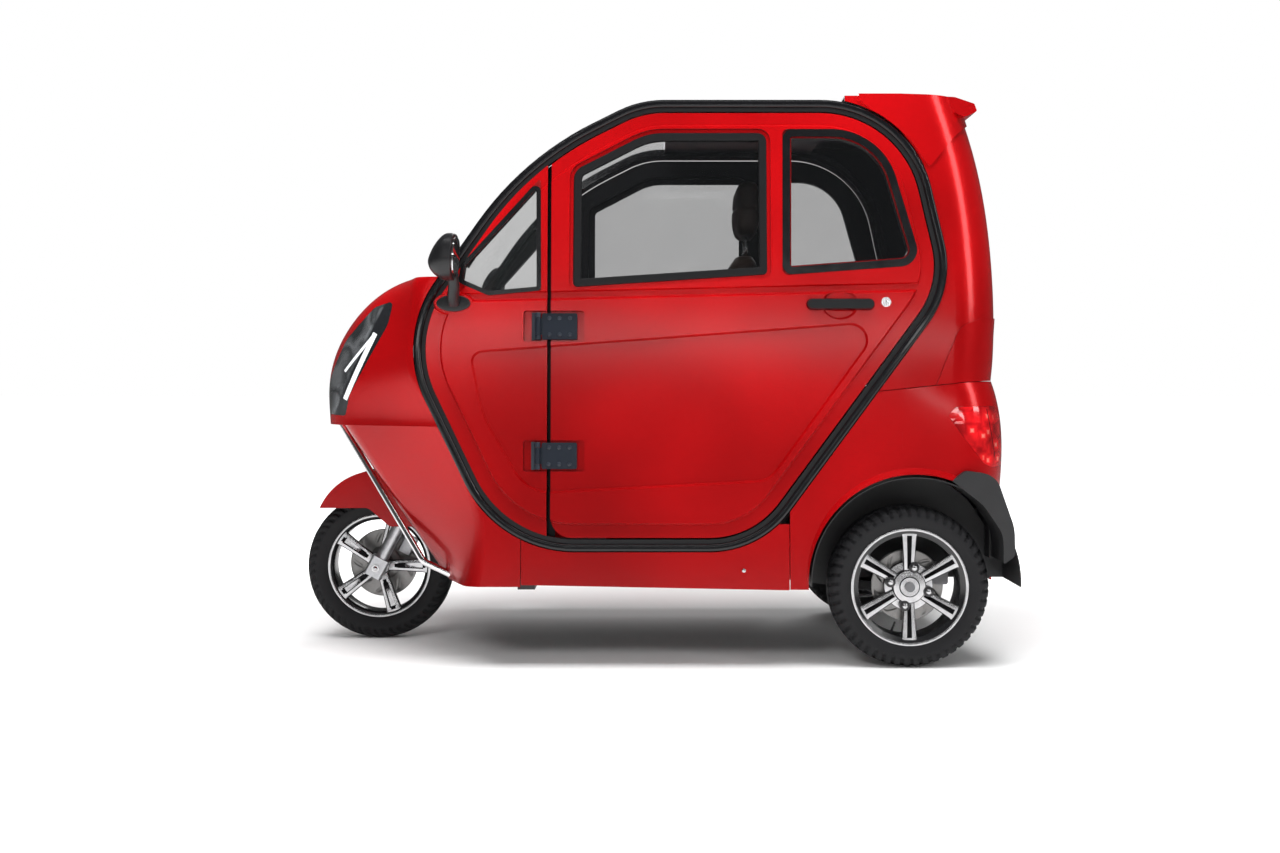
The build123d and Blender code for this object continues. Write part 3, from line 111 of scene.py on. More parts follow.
def toneBase(shader, source, colour, rows):
    # base colour over the source: each row (place, factor, lift) gives colour * factor + lift
    stops = [(place, tuple(factor * c + lift for c in colour)) for place, factor, lift in rows]
    link(rampColour(source, stops), shader.inputs["Base Color"])


def multiplied(a, b):
    mix = addNode(a, "Mix", data_type="RGBA", blend_type="MULTIPLY")
    for value, socket in zip((1.0, a, b), (mix.inputs[0], mix.inputs[6], mix.inputs[7])):
        link(value, socket)
    return mix.outputs[2]


def spreadFrom(source, values, places=(0, 1), **options):
    # Map Range: what the source says between the two places becomes the two values
    spread = addNode(source, "MapRange", **options)
    for key, value in zip(("From Min", "From Max", "To Min", "To Max"), (*places, *values)):
        spread.inputs[key].default_value = value
    link(source, spread.inputs["Value"])
    return spread.outputs["Result"]


def roughSpread(shader, source, low, high):
    link(spreadFrom(source, (low, high), (0.3, 0.7)), shader.inputs["Roughness"])


def bumpFrom(shader, source, strength, distance):
    bump = addNode(shader, "Bump", Strength=strength, Distance=distance)
    link(source, bump.inputs["Height"])
    link(bump.outputs["Normal"], shader.inputs["Normal"])


def mathNode(operation, a, b=None):
    # one Math node; a is a socket, b a socket or a number
    node = addNode(a, "Math", operation=operation)
    link(a, node.inputs[0])
    if b is not None:
        link(b, node.inputs[1])
    return node.outputs[0]


def times(a, b):
    return mathNode("MULTIPLY", a, b)


def plus(a, b):
    return mathNode("ADD", a, b)


def minus(a, b):
    return mathNode("SUBTRACT", a, b)


def smoothMask(value, edge0, edge1):
    # 0 at edge0, 1 at edge1, smooth between
    return spreadFrom(value, (0, 1), (edge0, edge1), interpolation_type="SMOOTHSTEP")


def objectPlace(mat):
    # the texture coordinates, and the place along X, Y and Z
    coords = addNode(mat, "TexCoord")
    split = addNode(mat, "SeparateXYZ")
    link(coords.outputs["Object"], split.inputs[0])
    return coords, split.outputs[0], split.outputs[1], split.outputs[2]


def boxMask(x, z, centre, half, soft=0.001):
    # 1 inside a rectangle of the side view
    masks = []
    for place, middle, reach in zip((x, z), centre, half):
        away = mathNode("ABSOLUTE", minus(place, middle))
        masks.append(smoothMask(away, reach, reach - soft))
    return times(*masks)


def barMask(x, z, start, end, half, soft=0.002):
    # 1 within half of the line from start to end in the side view: |(p - start) . normal| < half
    length = math.dist(start, end)
    dx, dz = (end[0] - start[0]) / length, (end[1] - start[1]) / length
    px = minus(x, start[0])
    pz = minus(z, start[1])
    along = plus(times(px, dx), times(pz, dz))
    across = plus(times(px, -dz), times(pz, dx))
    centred = mathNode("ABSOLUTE", minus(along, length / 2))
    near = smoothMask(mathNode("ABSOLUTE", across), half, half - soft)
    return times(near, smoothMask(centred, length / 2, length / 2 - soft))


def sideDepth(y, z):
    # distance out from the leaning side plane: |y| cos(lean) + z sin(lean) - groundHalf cos(lean)
    out = times(mathNode("ABSOLUTE", y), math.cos(sideLean))
    rise = times(z, math.sin(sideLean))
    return minus(plus(out, rise), groundHalf * math.cos(sideLean))


def mixNode(mask, under, over, kind, first):
    # under where the mask is 0, over where it is 1
    mix = addNode(mask, "Mix", data_type=kind)
    for value, socket in zip((mask, under, over), (mix.inputs[0], mix.inputs[first], mix.inputs[first + 1])):
        link(value, socket)
    return mix


def mixColour(mask, under, over):
    return mixNode(mask, under, over, "RGBA", 6).outputs[2]


def mixValue(mask, under, over):
    return mixNode(mask, under, over, "FLOAT", 2).outputs[0]


def seenMask(owner):
    # 1 where the camera looks, straight or through a pane
    path = addNode(owner, "LightPath")
    return mathNode("MAXIMUM", path.outputs["Is Camera Ray"], path.outputs["Is Transmission Ray"])


paintSettings = dict(
    deep=(0.40, 0.0010, 0.0025), bright=(0.82, 0.0035, 0.0070), glint=((0.72, 0.72, 0.72), (1.2, 1.1, 1.1)),
    liner=(0.010, 0.010, 0.011), flakeScale=2600, metal=0.45, coat=0.50, coatRough=0.14, specular=0.15,
    paintedShadeFrom=(0.25, 1.10), paintedShadeTone=(0.52, 1.12), flatten=0.35, heart=0.9, facing=(-0.03, -0.06),
    behind=(-0.0345, -0.0365),
)


def makePaint(name, lined):
    # candy red, with painted shade towards the ground and painted light up high; lined shells turn dark where
    # the surface looks in:
    # normal . (flatten x, y, flatten (z - heart)) < 0, and the side shells also well behind the side plane
    cfg = paintSettings
    finish = [cfg[key] for key in ("metal", "coat", "coatRough", "specular")]
    mat, shader = newMaterial(name, cfg["bright"], 0.30, *finish)
    broad = objectNoise(mat, 1.4, 2.0)
    tone = rampColour(broad, [(0.3, cfg["deep"]), (0.62, cfg["bright"])])
    flakes = objectNoise(mat, cfg["flakeScale"], 1.0)
    glint = rampColour(flakes, [(0.42, cfg["glint"][0]), (0.68, cfg["glint"][1])])
    coords, x, y, z = objectPlace(mat)
    # painted shade low down and painted light up high: the colour is scaled by height alone
    height = spreadFrom(z, cfg["paintedShadeTone"], cfg["paintedShadeFrom"])
    colour = multiplied(multiplied(tone, glint), height)
    if lined:
        outward = addNode(mat, "CombineXYZ")
        above = minus(z, cfg["heart"])
        link(times(x, cfg["flatten"]), outward.inputs[0])
        link(y, outward.inputs[1])
        link(times(above, cfg["flatten"]), outward.inputs[2])
        facing = addNode(mat, "VectorMath", operation="DOT_PRODUCT")
        link(coords.outputs["Normal"], facing.inputs[0])
        link(outward.outputs[0], facing.inputs[1])
        inside = smoothMask(facing.outputs["Value"], *cfg["facing"])
        if lined == "side":
            behind = smoothMask(sideDepth(y, z), *cfg["behind"])
            inside = mathNode("MAXIMUM", inside, behind)
        colour = mixColour(inside, colour, cfg["liner"])
        link(mixValue(inside, cfg["coat"], 0.0), shader.inputs["Coat Weight"])
        link(mixValue(inside, cfg["metal"], 0.0), shader.inputs["Metallic"])
    link(colour, shader.inputs["Base Color"])
    roughSpread(shader, flakes, 0.24, 0.36)
    bumpFrom(shader, objectNoise(mat, 160, 2.0), 0.04, 0.0004)
    return mat


def makeGlossBlack():
    mat, shader = newMaterial("glossBlackTube", (0.006, 0.006, 0.007), 0.16, 0, 0.6, 0.05)
    haze = objectNoise(mat, 26, 3.0)
    roughSpread(shader, haze, 0.12, 0.26)
    bumpFrom(shader, haze, 0.05, 0.0006)
    return mat


def makeRubber(name, rough, colour):
    mat, shader = newMaterial(name, colour, rough, specular=0.25)
    grain = objectNoise(mat, 900, 3.0)
    toneBase(shader, grain, colour, ((0.3, 0.7, 0), (0.7, 1.6, 0)))
    roughSpread(shader, grain, rough - 0.08, rough + 0.12)
    bumpFrom(shader, grain, 0.25, 0.0004)
    return mat


def makePlastic(name, colour, rough, grainScale):
    mat, shader = newMaterial(name, colour, rough)
    grain = objectNoise(mat, grainScale, 2.0)
    wear = objectNoise(mat, 7, 4.0)
    toneBase(shader, wear, colour, ((0.3, 0.8, 0), (0.75, 1.5, 0)))
    roughSpread(shader, wear, rough - 0.06, rough + 0.1)
    bumpFrom(shader, grain, 0.3, 0.0003)
    return mat


def makeMetal(name, colour, low, high, scale):
    mat, shader = newMaterial(name, colour, low, 1.0)
    brush = objectNoise(mat, scale, 4.0, 0.6)
    toneBase(shader, brush, colour, ((0.3, 0.82, 0), (0.7, 1, 0)))
    roughSpread(shader, brush, low, high)
    bumpFrom(shader, brush, 0.06, 0.0003)
    return mat


def makeSteelPaint(name, colour, rough):
    mat, shader = newMaterial(name, colour, rough)
    peel = objectNoise(mat, 220, 3.0)
    dust = objectNoise(mat, 5, 5.0)
    toneBase(shader, dust, colour, ((0.35, 1, 0), (0.8, 2.2, 0.01)))
    roughSpread(shader, dust, rough - 0.08, rough + 0.15)
    bumpFrom(shader, peel, 0.15, 0.0004)
    return mat


def makeGlass(name, tint, alpha):
    # thin panes: a dark mirror-like surface, mostly see-through by its alpha, which a faint smear varies
    mat, shader = newMaterial(name, tint, 0.0)
    shader.inputs["Transmission Weight"].default_value = 0.0
    shader.inputs["IOR"].default_value = 1.5
    smear = objectNoise(mat, 5, 3.0)
    link(spreadFrom(smear, (alpha - 0.02, alpha + 0.03)), shader.inputs["Alpha"])
    roughSpread(shader, smear, 0.0, 0.02)
    return mat


headlampSettings = dict(
    apex=(-0.782, 0.974), foot=(-0.884, 0.776), nose=(-0.884, 0.86), halfBar=0.0085, halfArm=0.005,
    rearTop=(-0.722, 1.052), rearFoot=(-0.880, 0.740), bezel=(0.030, 0.050), dark=(0.014, 0.015, 0.018),
    chrome=(0.55, 0.57, 0.60), reflectorShade=((0.10, 0.11, 0.12), (0.14, 0.15, 0.16)),
    light=(0.93, 0.95, 0.97), glow=0.35,
)


def makeHeadlamp():
    # under the clear cover: white light bars, dark bezel at the back, bright chrome reflector towards the
    # nose with painted shade in its folds
    cfg = headlampSettings
    mat, shader = newMaterial("headlampUnit", cfg["dark"], 0.08, 0.6, 1.0, 0.02)
    _, x, _, z = objectPlace(mat)
    fold = objectNoise(mat, 13, 1.5, 0.4, (1, 0.5, 0.6))
    (firstShade, secondShade), chrome = cfg["reflectorShade"], cfg["chrome"]
    # painted shade: dark bands between the chrome of the reflector, laid by noise
    reflector = rampColour(fold, [(0.36, firstShade), (0.46, chrome), (0.54, secondShade), (0.66, chrome)])
    (topX, topZ), (footX, footZ) = cfg["rearTop"], cfg["rearFoot"]
    length = math.dist(cfg["rearTop"], cfg["rearFoot"])
    dx, dz = (footX - topX) / length, (footZ - topZ) / length
    px = minus(x, topX)
    pz = minus(z, topZ)
    back = plus(times(px, dz), times(pz, -dx))
    front = smoothMask(back, *cfg["bezel"])
    colour = mixColour(front, cfg["dark"], reflector)
    bar = barMask(x, z, cfg["apex"], cfg["foot"], cfg["halfBar"])
    arm = barMask(x, z, cfg["apex"], cfg["nose"], cfg["halfArm"])
    light = mathNode("MAXIMUM", bar, arm)
    link(mixColour(light, colour, cfg["light"]), shader.inputs["Base Color"])
    link(mixValue(light, mixValue(front, 0.1, 0.85), 0.0), shader.inputs["Metallic"])
    link(times(light, cfg["glow"]), shader.inputs["Emission Strength"])
    shader.inputs["Emission Color"].default_value = (0.95, 0.97, 1, 1)
    roughSpread(shader, fold, 0.05, 0.14)
    return mat


# facets: glow is a painted highlight at each facet's centre, deep a painted shade towards its edges
tailSettings = dict(
    red=(0.80, 0.010, 0.014), deep=(0.42, 0.002, 0.005), glow=(0.98, 0.26, 0.20), facets=30,
    jointTop=(1.012, 0.752), jointFoot=(1.040, 0.600), jointHalf=0.0022, jointDark=(0.05, 0.0, 0.002),
    dim=(0.45, 0.4, 0.4), lit=(1.15, 1.15, 1.15),
)


def makeTailLamp():
    # red cover over faceted reflectors with painted highlights at the facet centres and painted shade towards
    # their edges, in broad lit and dim areas, with a darker joint line
    cfg = tailSettings
    mat, shader = newMaterial("tailLampUnit", cfg["red"], 0.06, 0.1, 1.0, 0.02)
    coords, x, _, z = objectPlace(mat)
    cells = addNode(mat, "TexVoronoi", distance="CHEBYCHEV", Scale=cfg["facets"])
    link(coords.outputs["Object"], cells.inputs["Vector"])
    # painted highlight: pink at each facet's centre; painted shade: deep red towards the facet's edges
    stops = [(0.05, cfg["glow"]), (0.22, cfg["red"]), (0.6, cfg["deep"])]
    tone = rampColour(cells.outputs["Distance"], stops)
    broad = objectNoise(mat, 12, 3.0)
    shade = rampColour(broad, [(0.35, cfg["dim"]), (0.62, cfg["lit"])])
    joint = barMask(x, z, cfg["jointTop"], cfg["jointFoot"], cfg["jointHalf"])
    colour = mixColour(joint, multiplied(tone, shade), cfg["jointDark"])
    link(colour, shader.inputs["Base Color"])
    link(colour, shader.inputs["Emission Color"])
    shader.inputs["Emission Strength"].default_value = 0.22
    roughSpread(shader, broad, 0.04, 0.12)
    bumpFrom(shader, cells.outputs["Distance"], 0.35, 0.002)
    return mat


tubeSettings = dict(
    gloss=(0.006, 0.006, 0.007), seal=(0.013, 0.013, 0.014), sealRough=0.6, coat=0.3,
    outerEdge=(-0.0064, -0.0068), innerEdge=(-0.034, -0.030),
)


def makeFrameTube():
    # glossy tube with a matt rubber band inside it, told apart by depth below the side plane
    cfg = tubeSettings
    mat, shader = newMaterial("loopTubeAndSeal", cfg["gloss"], 0.16, 0, cfg["coat"], 0.05, 0.3)
    _, _, y, z = objectPlace(mat)
    depth = sideDepth(y, z)
    edges = [smoothMask(depth, *cfg[edge]) for edge in ("outerEdge", "innerEdge")]
    band = times(*edges)
    polish = times(objectNoise(mat, 26, 3.0), 0.36)
    link(mixColour(band, cfg["gloss"], cfg["seal"]), shader.inputs["Base Color"])
    link(mixValue(band, polish, cfg["sealRough"]), shader.inputs["Roughness"])
    link(mixValue(band, cfg["coat"], 0.0), shader.inputs["Coat Weight"])
    bumpFrom(shader, objectNoise(mat, 900, 3.0), 0.08, 0.0004)
    return mat


trimSettings = dict(
    rubber=(0.009, 0.009, 0.010),
    zones=(
        dict(centre=(-0.24, 0.80), half=(0.069, 0.27), colour=(0.012, 0.016, 0.024), rough=0.36),
        dict(centre=(0.581, 1.055), half=(0.112, 0.026), colour=(0.008, 0.009, 0.010), rough=0.24),
        dict(centre=(0.714, 1.062), half=(0.018, 0.018), colour=(0.72, 0.72, 0.74), rough=0.14),
    ),
)


def makeDoorTrim():
    # window rubber, satin hinge leaves, glossy bar handle and a chrome lock, told apart by place;
    # the last zone, the lock, is the only metal one
    cfg = trimSettings
    mat, shader = newMaterial("doorTrim", cfg["rubber"], 0.55, specular=0.3)
    _, x, _, z = objectPlace(mat)
    grain = objectNoise(mat, 900, 3.0)
    colour = cfg["rubber"]
    rough = plus(times(grain, 0.2), 0.46)
    for zone in cfg["zones"]:
        mask = boxMask(x, z, zone["centre"], zone["half"])
        colour = mixColour(mask, colour, zone["colour"])
        rough = mixValue(mask, rough, zone["rough"])
    link(colour, shader.inputs["Base Color"])
    link(rough, shader.inputs["Roughness"])
    link(mask, shader.inputs["Metallic"])
    bumpFrom(shader, grain, 0.15, 0.0004)
    return mat


turnedSettings = dict(
    rings=9000.0, facing=(0.86, 0.94), bright=((0.44, 0.44, 0.45), (0.60, 0.60, 0.61)),
    dark=(0.008, 0.008, 0.009), darkRough=0.22, roughFrom=0.14, roughSpan=0.16,
)


def makeMachined(name, centre):
    # turned faces look along Y: fine rings of the radius from the wheel's centre; other faces are gloss black
    cfg = turnedSettings
    mat, shader = newMaterial(name, (0.8, 0.8, 0.81), 0.2, 1.0, 0.3, 0.05)
    coords, x, _, z = objectPlace(mat)
    away = [minus(x, centre[0]), minus(z, centre[2])]
    squares = [times(d, d) for d in away]
    radius = mathNode("SQRT", plus(*squares))
    rings = mathNode("SINE", times(radius, cfg["rings"]))
    normal = addNode(mat, "SeparateXYZ")
    link(coords.outputs["Normal"], normal.inputs[0])
    turned = smoothMask(mathNode("ABSOLUTE", normal.outputs[1]), *cfg["facing"])
    haze = objectNoise(mat, 45, 3.0)
    bright = rampColour(haze, [(0.3, cfg["bright"][0]), (0.7, cfg["bright"][1])])
    polish = plus(times(haze, cfg["roughSpan"]), cfg["roughFrom"])
    link(mixColour(turned, cfg["dark"], bright), shader.inputs["Base Color"])
    link(turned, shader.inputs["Metallic"])
    link(mixValue(turned, cfg["darkRough"], polish), shader.inputs["Roughness"])
    bumpFrom(shader, rings, 0.12, 0.0002)
    return mat


def makeLeather(name, colour):
    mat, shader = newMaterial(name, colour, 0.5)
    coords = addNode(mat, "TexCoord")
    cells = addNode(mat, "TexVoronoi", Scale=420)
    link(coords.outputs["Object"], cells.inputs["Vector"])
    wear = objectNoise(mat, 6, 5.0)
    toneBase(shader, wear, colour, ((0.3, 0.7, 0), (0.75, 1.4, 0)))
    roughSpread(shader, wear, 0.42, 0.6)
    bumpFrom(shader, cells.outputs["Distance"], 0.35, 0.0006)
    return mat


candyRed = makePaint("candyRedPaint", None)
linedRed = makePaint("candyRedLined", "shell")
sideRed = makePaint("candyRedSide", "side")
loopTube = makeFrameTube()
doorTrim = makeDoorTrim()
glossBlack = makeGlossBlack()
windowRubber = makeRubber("windowRubber", 0.55, (0.012, 0.012, 0.013))
tyreRubber = makeRubber("tyreRubber", 0.62, (0.011, 0.011, 0.012))
blackPlastic = makePlastic("blackPlastic", (0.016, 0.016, 0.017), 0.5, 1400)
satinBlack = makePlastic("satinBlack", (0.010, 0.010, 0.011), 0.32, 900)
forkSilver = makeMetal("forkSilver", (0.62, 0.63, 0.65), 0.32, 0.46, 90)
chromeSteel = makeMetal("chromeSteel", (0.86, 0.86, 0.87), 0.04, 0.10, 12)
castIron = makeSteelPaint("castGrey", (0.10, 0.10, 0.105), 0.55)
frameBlack = makeSteelPaint("frameBlack", (0.014, 0.014, 0.015), 0.42)
hingeGrey = makeSteelPaint("hingeGrey", (0.012, 0.016, 0.024), 0.34)
pocketBlack = makeSteelPaint("wheelBlack", (0.010, 0.010, 0.011), 0.25)
clearGlass = makeGlass("clearGlass", (0.03, 0.035, 0.035), 0.16)
tintedGlass = makeGlass("tintedGlass", (0.012, 0.013, 0.014), 0.22)
lampRed = makeTailLamp()
lampClear = makeHeadlamp()
frontMachined = makeMachined("frontMachined", frontCentre)
rearMachined = makeMachined("rearMachined", rearCentre)
brownLeather = makeLeather("brownLeather", (0.055, 0.032, 0.024))
print("materials made")

slotMaterials = {
    "red_body": candyRed, "gloss_black": glossBlack, "black_steel": frameBlack, "hinge_grey": hingeGrey,
    "grey_steel": castIron, "silver_alloy": forkSilver, "black_alloy": pocketBlack, "chrome": chromeSteel,
    "black_plastic": blackPlastic, "black_rubber": windowRubber, "tyre_rubber": tyreRubber,
    "clear_glass": clearGlass, "tinted_glass": tintedGlass, "lamp_clear": lampClear, "lamp_red": lampRed,
    "brown_leather": brownLeather,
}
ownMaterials = {
    "roof_panel": linedRed, "nose_shell": linedRed, "rear_upper_shell": linedRed, "rear_lower_body": linedRed,
    "rear_spoiler": candyRed, "quarter_panels": sideRed, "door_panel_left": sideRed,
    "door_panel_right": sideRed, "side_frames": loopTube, "door_trim_left": doorTrim,
    "door_trim_right": doorTrim, "hinge_brackets": hingeGrey,
}
for part in frame["record"]["subparts"]:
    piece = nodes[part["node"]]
    piece.data.materials.clear()
    piece.data.materials.append(ownMaterials.get(part["node"], slotMaterials[part["material_slot"]]))


def signedPower(value, exponent):
    return np.sign(value) * np.abs(value) ** exponent


def rampUp(value, start, width):
    # 0 up to start, 1 from start + width on
    return np.clip((value - start) / width, 0, 1)


def gridQuads(nu, nv, wrapU):
    # quad corners of a grid of nu by nv points; v always wraps round, u only where asked
    u = np.arange(nu if wrapU else nu - 1)[:, None]
    v = np.arange(nv)[None]
    nextU, nextV = (u + 1) % nu, (v + 1) % nv
    corners = [u * nv + v, nextU * nv + v, nextU * nv + nextV, u * nv + nextV]
    return np.stack(corners, -1).reshape(-1, 4)


def shadeSmooth(mesh):
    mesh.polygons.foreach_set("use_smooth", np.ones(len(mesh.polygons), bool))


def readPoints(mesh, key="co"):
    flat = np.empty(len(mesh.vertices) * 3)
    mesh.vertices.foreach_get(key, flat)
    return flat.reshape(-1, 3)


def anglesOf(count, start=0):
    return np.linspace(start, start + 2 * np.pi, count, endpoint=False)


def unit(rows):
    return rows / np.linalg.norm(rows, axis=1)[:, None]


def bendThrough(k, marks, points):
    # straight runs between the points, reached at the marks
    return np.stack([np.interp(k, marks, points[:, i]) for i in range(3)], 1)


def buildPiece(name, grids, material, body, wrapU=False, crease=None):
    # grids is a list of (nu, nv, 3) arrays; doubled points are merged, so ends that meet in a point close up
    points, quads, base = [], [], 0
    for grid in grids:
        nu, nv = grid.shape[:2]
        points.append(grid.reshape(-1, 3))
        quads.append(gridQuads(nu, nv, wrapU) + base)
        base += nu * nv
    mesh = bpy.data.meshes.new(name)
    mesh.from_pydata(np.concatenate(points).tolist(), [], np.concatenate(quads).tolist())
    work = bmesh.new()
    work.from_mesh(mesh)
    bmesh.ops.remove_doubles(work, verts=work.verts, dist=2e-6)
    bmesh.ops.recalc_face_normals(work, faces=work.faces)
    work.to_mesh(mesh)
    work.free()
    shadeSmooth(mesh)
    mesh.materials.append(material)
    if crease is not None:
        mesh.set_sharp_from_angle(angle=math.radians(crease))
    piece = bpy.data.objects.new(name, mesh)
    bpy.context.scene.collection.objects.link(piece)
    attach(piece, body)
    return piece


def revolveGrid(profile, centre, steps=160):
    # profile rows are (radius, y); point = centre + (r cos t, y, r sin t)
    profile = np.array(profile, float)
    t = anglesOf(steps)[None]
    r, y = profile[:, :1], profile[:, 1:]
    x, z = r * np.cos(t), r * np.sin(t)
    return np.stack([x, np.broadcast_to(y, x.shape), z], -1) + np.array(centre)


def tubeGrid(path, radius, sides=16):
    # circles of the given radius carried along the path, drawn in to a point at each end
    path = np.array(path, float)
    radii = np.broadcast_to(np.array(radius, float), (len(path),))[:, None, None]
    along = unit(np.gradient(path, axis=0))
    guide = np.array([0.31, 0.17, 0.93])
    side = unit(np.cross(along, guide))
    up = np.cross(side, along)
    t = anglesOf(sides)[None, :, None]
    rings = path[:, None] + radii * (np.cos(t) * side[:, None] + np.sin(t) * up[:, None])
    first, last = (np.repeat(end[None, None], sides, 1) for end in path[[0, -1]])
    return np.concatenate([first, rings, last])


def domeGrid(centre, axis, radius, height, steps=20, rings=7):
    # half ellipsoid: foot + a (radius sin u (cos t, sin t)) + height cos u along the axis, closed underneath
    centre = np.array(centre, float)
    axis = np.array(axis, float) / np.linalg.norm(axis)
    side = np.cross(axis, (0.2, 0.3, 0.93))
    side /= np.linalg.norm(side)
    up = np.cross(side, axis)
    u = np.linspace(0, np.pi / 2, rings)[:, None, None]
    t = anglesOf(steps)[None, :, None]
    around = np.cos(t) * side + np.sin(t) * up
    top = centre + radius * np.sin(u) * around + height * np.cos(u) * axis
    return np.concatenate([top, np.repeat(centre[None, None], steps, 1)])


def roundedPath(corners, steps=12):
    # each corner (x, z, r) becomes an arc tangent to both runs; returns the closed outline as an array
    corners = np.array(corners, float)
    here, r = corners[:, :2], corners[:, 2]
    back, ahead = (unit(np.roll(here, step, 0) - here) for step in (1, -1))
    half = np.arccos(np.clip((back * ahead).sum(1), -1, 1)) / 2
    reach = (r / np.tan(half))[:, None]
    middle = here + unit(back + ahead) * (r / np.sin(half))[:, None]
    start, end = here + back * reach, here + ahead * reach
    k = np.linspace(0, 1, steps)[None, :, None]
    chord = start[:, None] * (1 - k) + end[:, None] * k - middle[:, None]
    chord /= np.linalg.norm(chord, axis=2)[..., None] + 1e-12
    return (middle[:, None] + chord * r[:, None, None]).reshape(-1, 2)


def onSide(points, out, hand):
    # a place (x, height, out) of the leaning side plane; hand -1 is the left side
    points = np.asarray(points, float)
    y = groundHalf - points[..., 1] * math.sin(sideLean) + out * math.cos(sideLean)
    z = points[..., 1] * math.cos(sideLean) + out * math.sin(sideLean)
    return np.stack([points[..., 0], hand * y, z], -1)


def sideNameOf(hand):
    return "left" if hand < 0 else "right"


tyreSettings = {
    "front": dict(
        width=0.096, waves=26, bend=0.30, depth=0.0060, foot=0.2055, cutWave=(0.60, 0.16),
        cutShare=(0.10, 0.05), shortWave=(0.80, 0.1), shortShare=(0.80, 0.04),
        ringAt=0, ringWave=0, ringHalf=0.06,
    ),
    "rear": dict(
        width=0.125, waves=50, bend=0.05, depth=0.0065, foot=0.2065, cutWave=(0.30, 0.2),
        cutShare=(0.20, 0.05), ringAt=0.46, ringWave=0.025, ringHalf=0.055,
    ),
}
tyreSection = dict(
    radius=0.235, middle=0.198, seat=0.1532, heart=0.19,
    beads=((0.1705, 0.0014), (0.1990, 0.0012)), beadLift=0.0011,
)


def makeTyre(name, kind, centre, body, node):
    # section: r = middle + (radius - middle) |cos a|^0.62, y = half sin a to the power 0.75, walls drawn
    # in to the bead; the tread is cut towards the section's heart where cos(phase) stands high:
    # phase = waves * (angle + bend |y / half|^1.5), set off by half a wave from one side to the other
    cfg, section = tyreSettings[kind], tyreSection
    half, middle, seat, heart = cfg["width"] / 2, section["middle"], section["seat"], section["heart"]
    a = np.linspace(-np.pi / 2, np.pi / 2, 61)
    crownY = half * signedPower(np.sin(a), 0.75)
    crownR = middle + (section["radius"] - middle) * np.abs(np.cos(a)) ** 0.62
    q = np.linspace(0, 1, 15)[1:]
    wallR = middle - (middle - seat) * q
    wallY = half * (1 - 0.42 * q**1.8)
    foot = np.linspace(1, -1, 5)[1:-1] * half * 0.58
    y = np.concatenate([crownY, wallY, foot, -wallY[::-1]])[:, None]
    r = np.concatenate([crownR, wallR, np.full(3, seat), wallR[::-1]])[:, None]
    t = anglesOf(600)[None]
    share = np.abs(y) / half
    crown = rampUp(r, cfg["foot"], 0.002)
    phase = cfg["waves"] * (t + cfg["bend"] * share**1.5)
    cuts = rampUp(np.cos(phase + np.pi * (y > 0)), *cfg["cutWave"]) * rampUp(share, *cfg["cutShare"])
    if kind == "front":
        short = rampUp(np.cos(phase + np.pi * (y < 0)), *cfg["shortWave"])
        cuts = np.maximum(cuts, short * rampUp(share, *cfg["shortShare"]))
    wander = np.abs(share - cfg["ringAt"] - cfg["ringWave"] * np.sin(cfg["waves"] * t))
    ring = rampUp(cfg["ringHalf"] - wander, 0, 0.03)
    cut = cfg["depth"] * crown * np.maximum(cuts, ring)
    reach = np.sqrt(y**2 + (r - heart) ** 2) + 1e-9
    bead = sum(np.exp(-(((r - place) / spread) ** 2)) for place, spread in section["beads"])
    out = section["beadLift"] * bead * (share > 0.6)
    yy = y - cut * y / reach + np.sign(y) * out
    rr = r - cut * (r - heart) / reach
    grid = np.stack([rr * np.cos(t), yy, rr * np.sin(t)], -1) + np.array(centre)
    piece = buildPiece(name, [grid], tyreRubber, body, wrapU=True)
    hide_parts(node)


wheelShapes = {
    "front": dict(
        lip=0.1655, seat=0.1525, half=0.0425, hub=0.036, spokes=5, face=-0.038, dish=0.010, wide=0.050,
        foot=0.034, slot=0.0072, phase=0.0, finish="silver_alloy",
    ),
    "rear": dict(
        lip=0.1705, seat=0.1525, half=0.0552, hub=0.040, spokes=6, face=-0.049, dish=0.012, wide=0.047,
        foot=0.032, slot=0.0056, phase=math.pi / 6, finish="black_alloy",
    ),
}
spokeShape = dict(rings=38, sides=56, thick=0.011, groove=0.009, grooveEdge=0.0012)


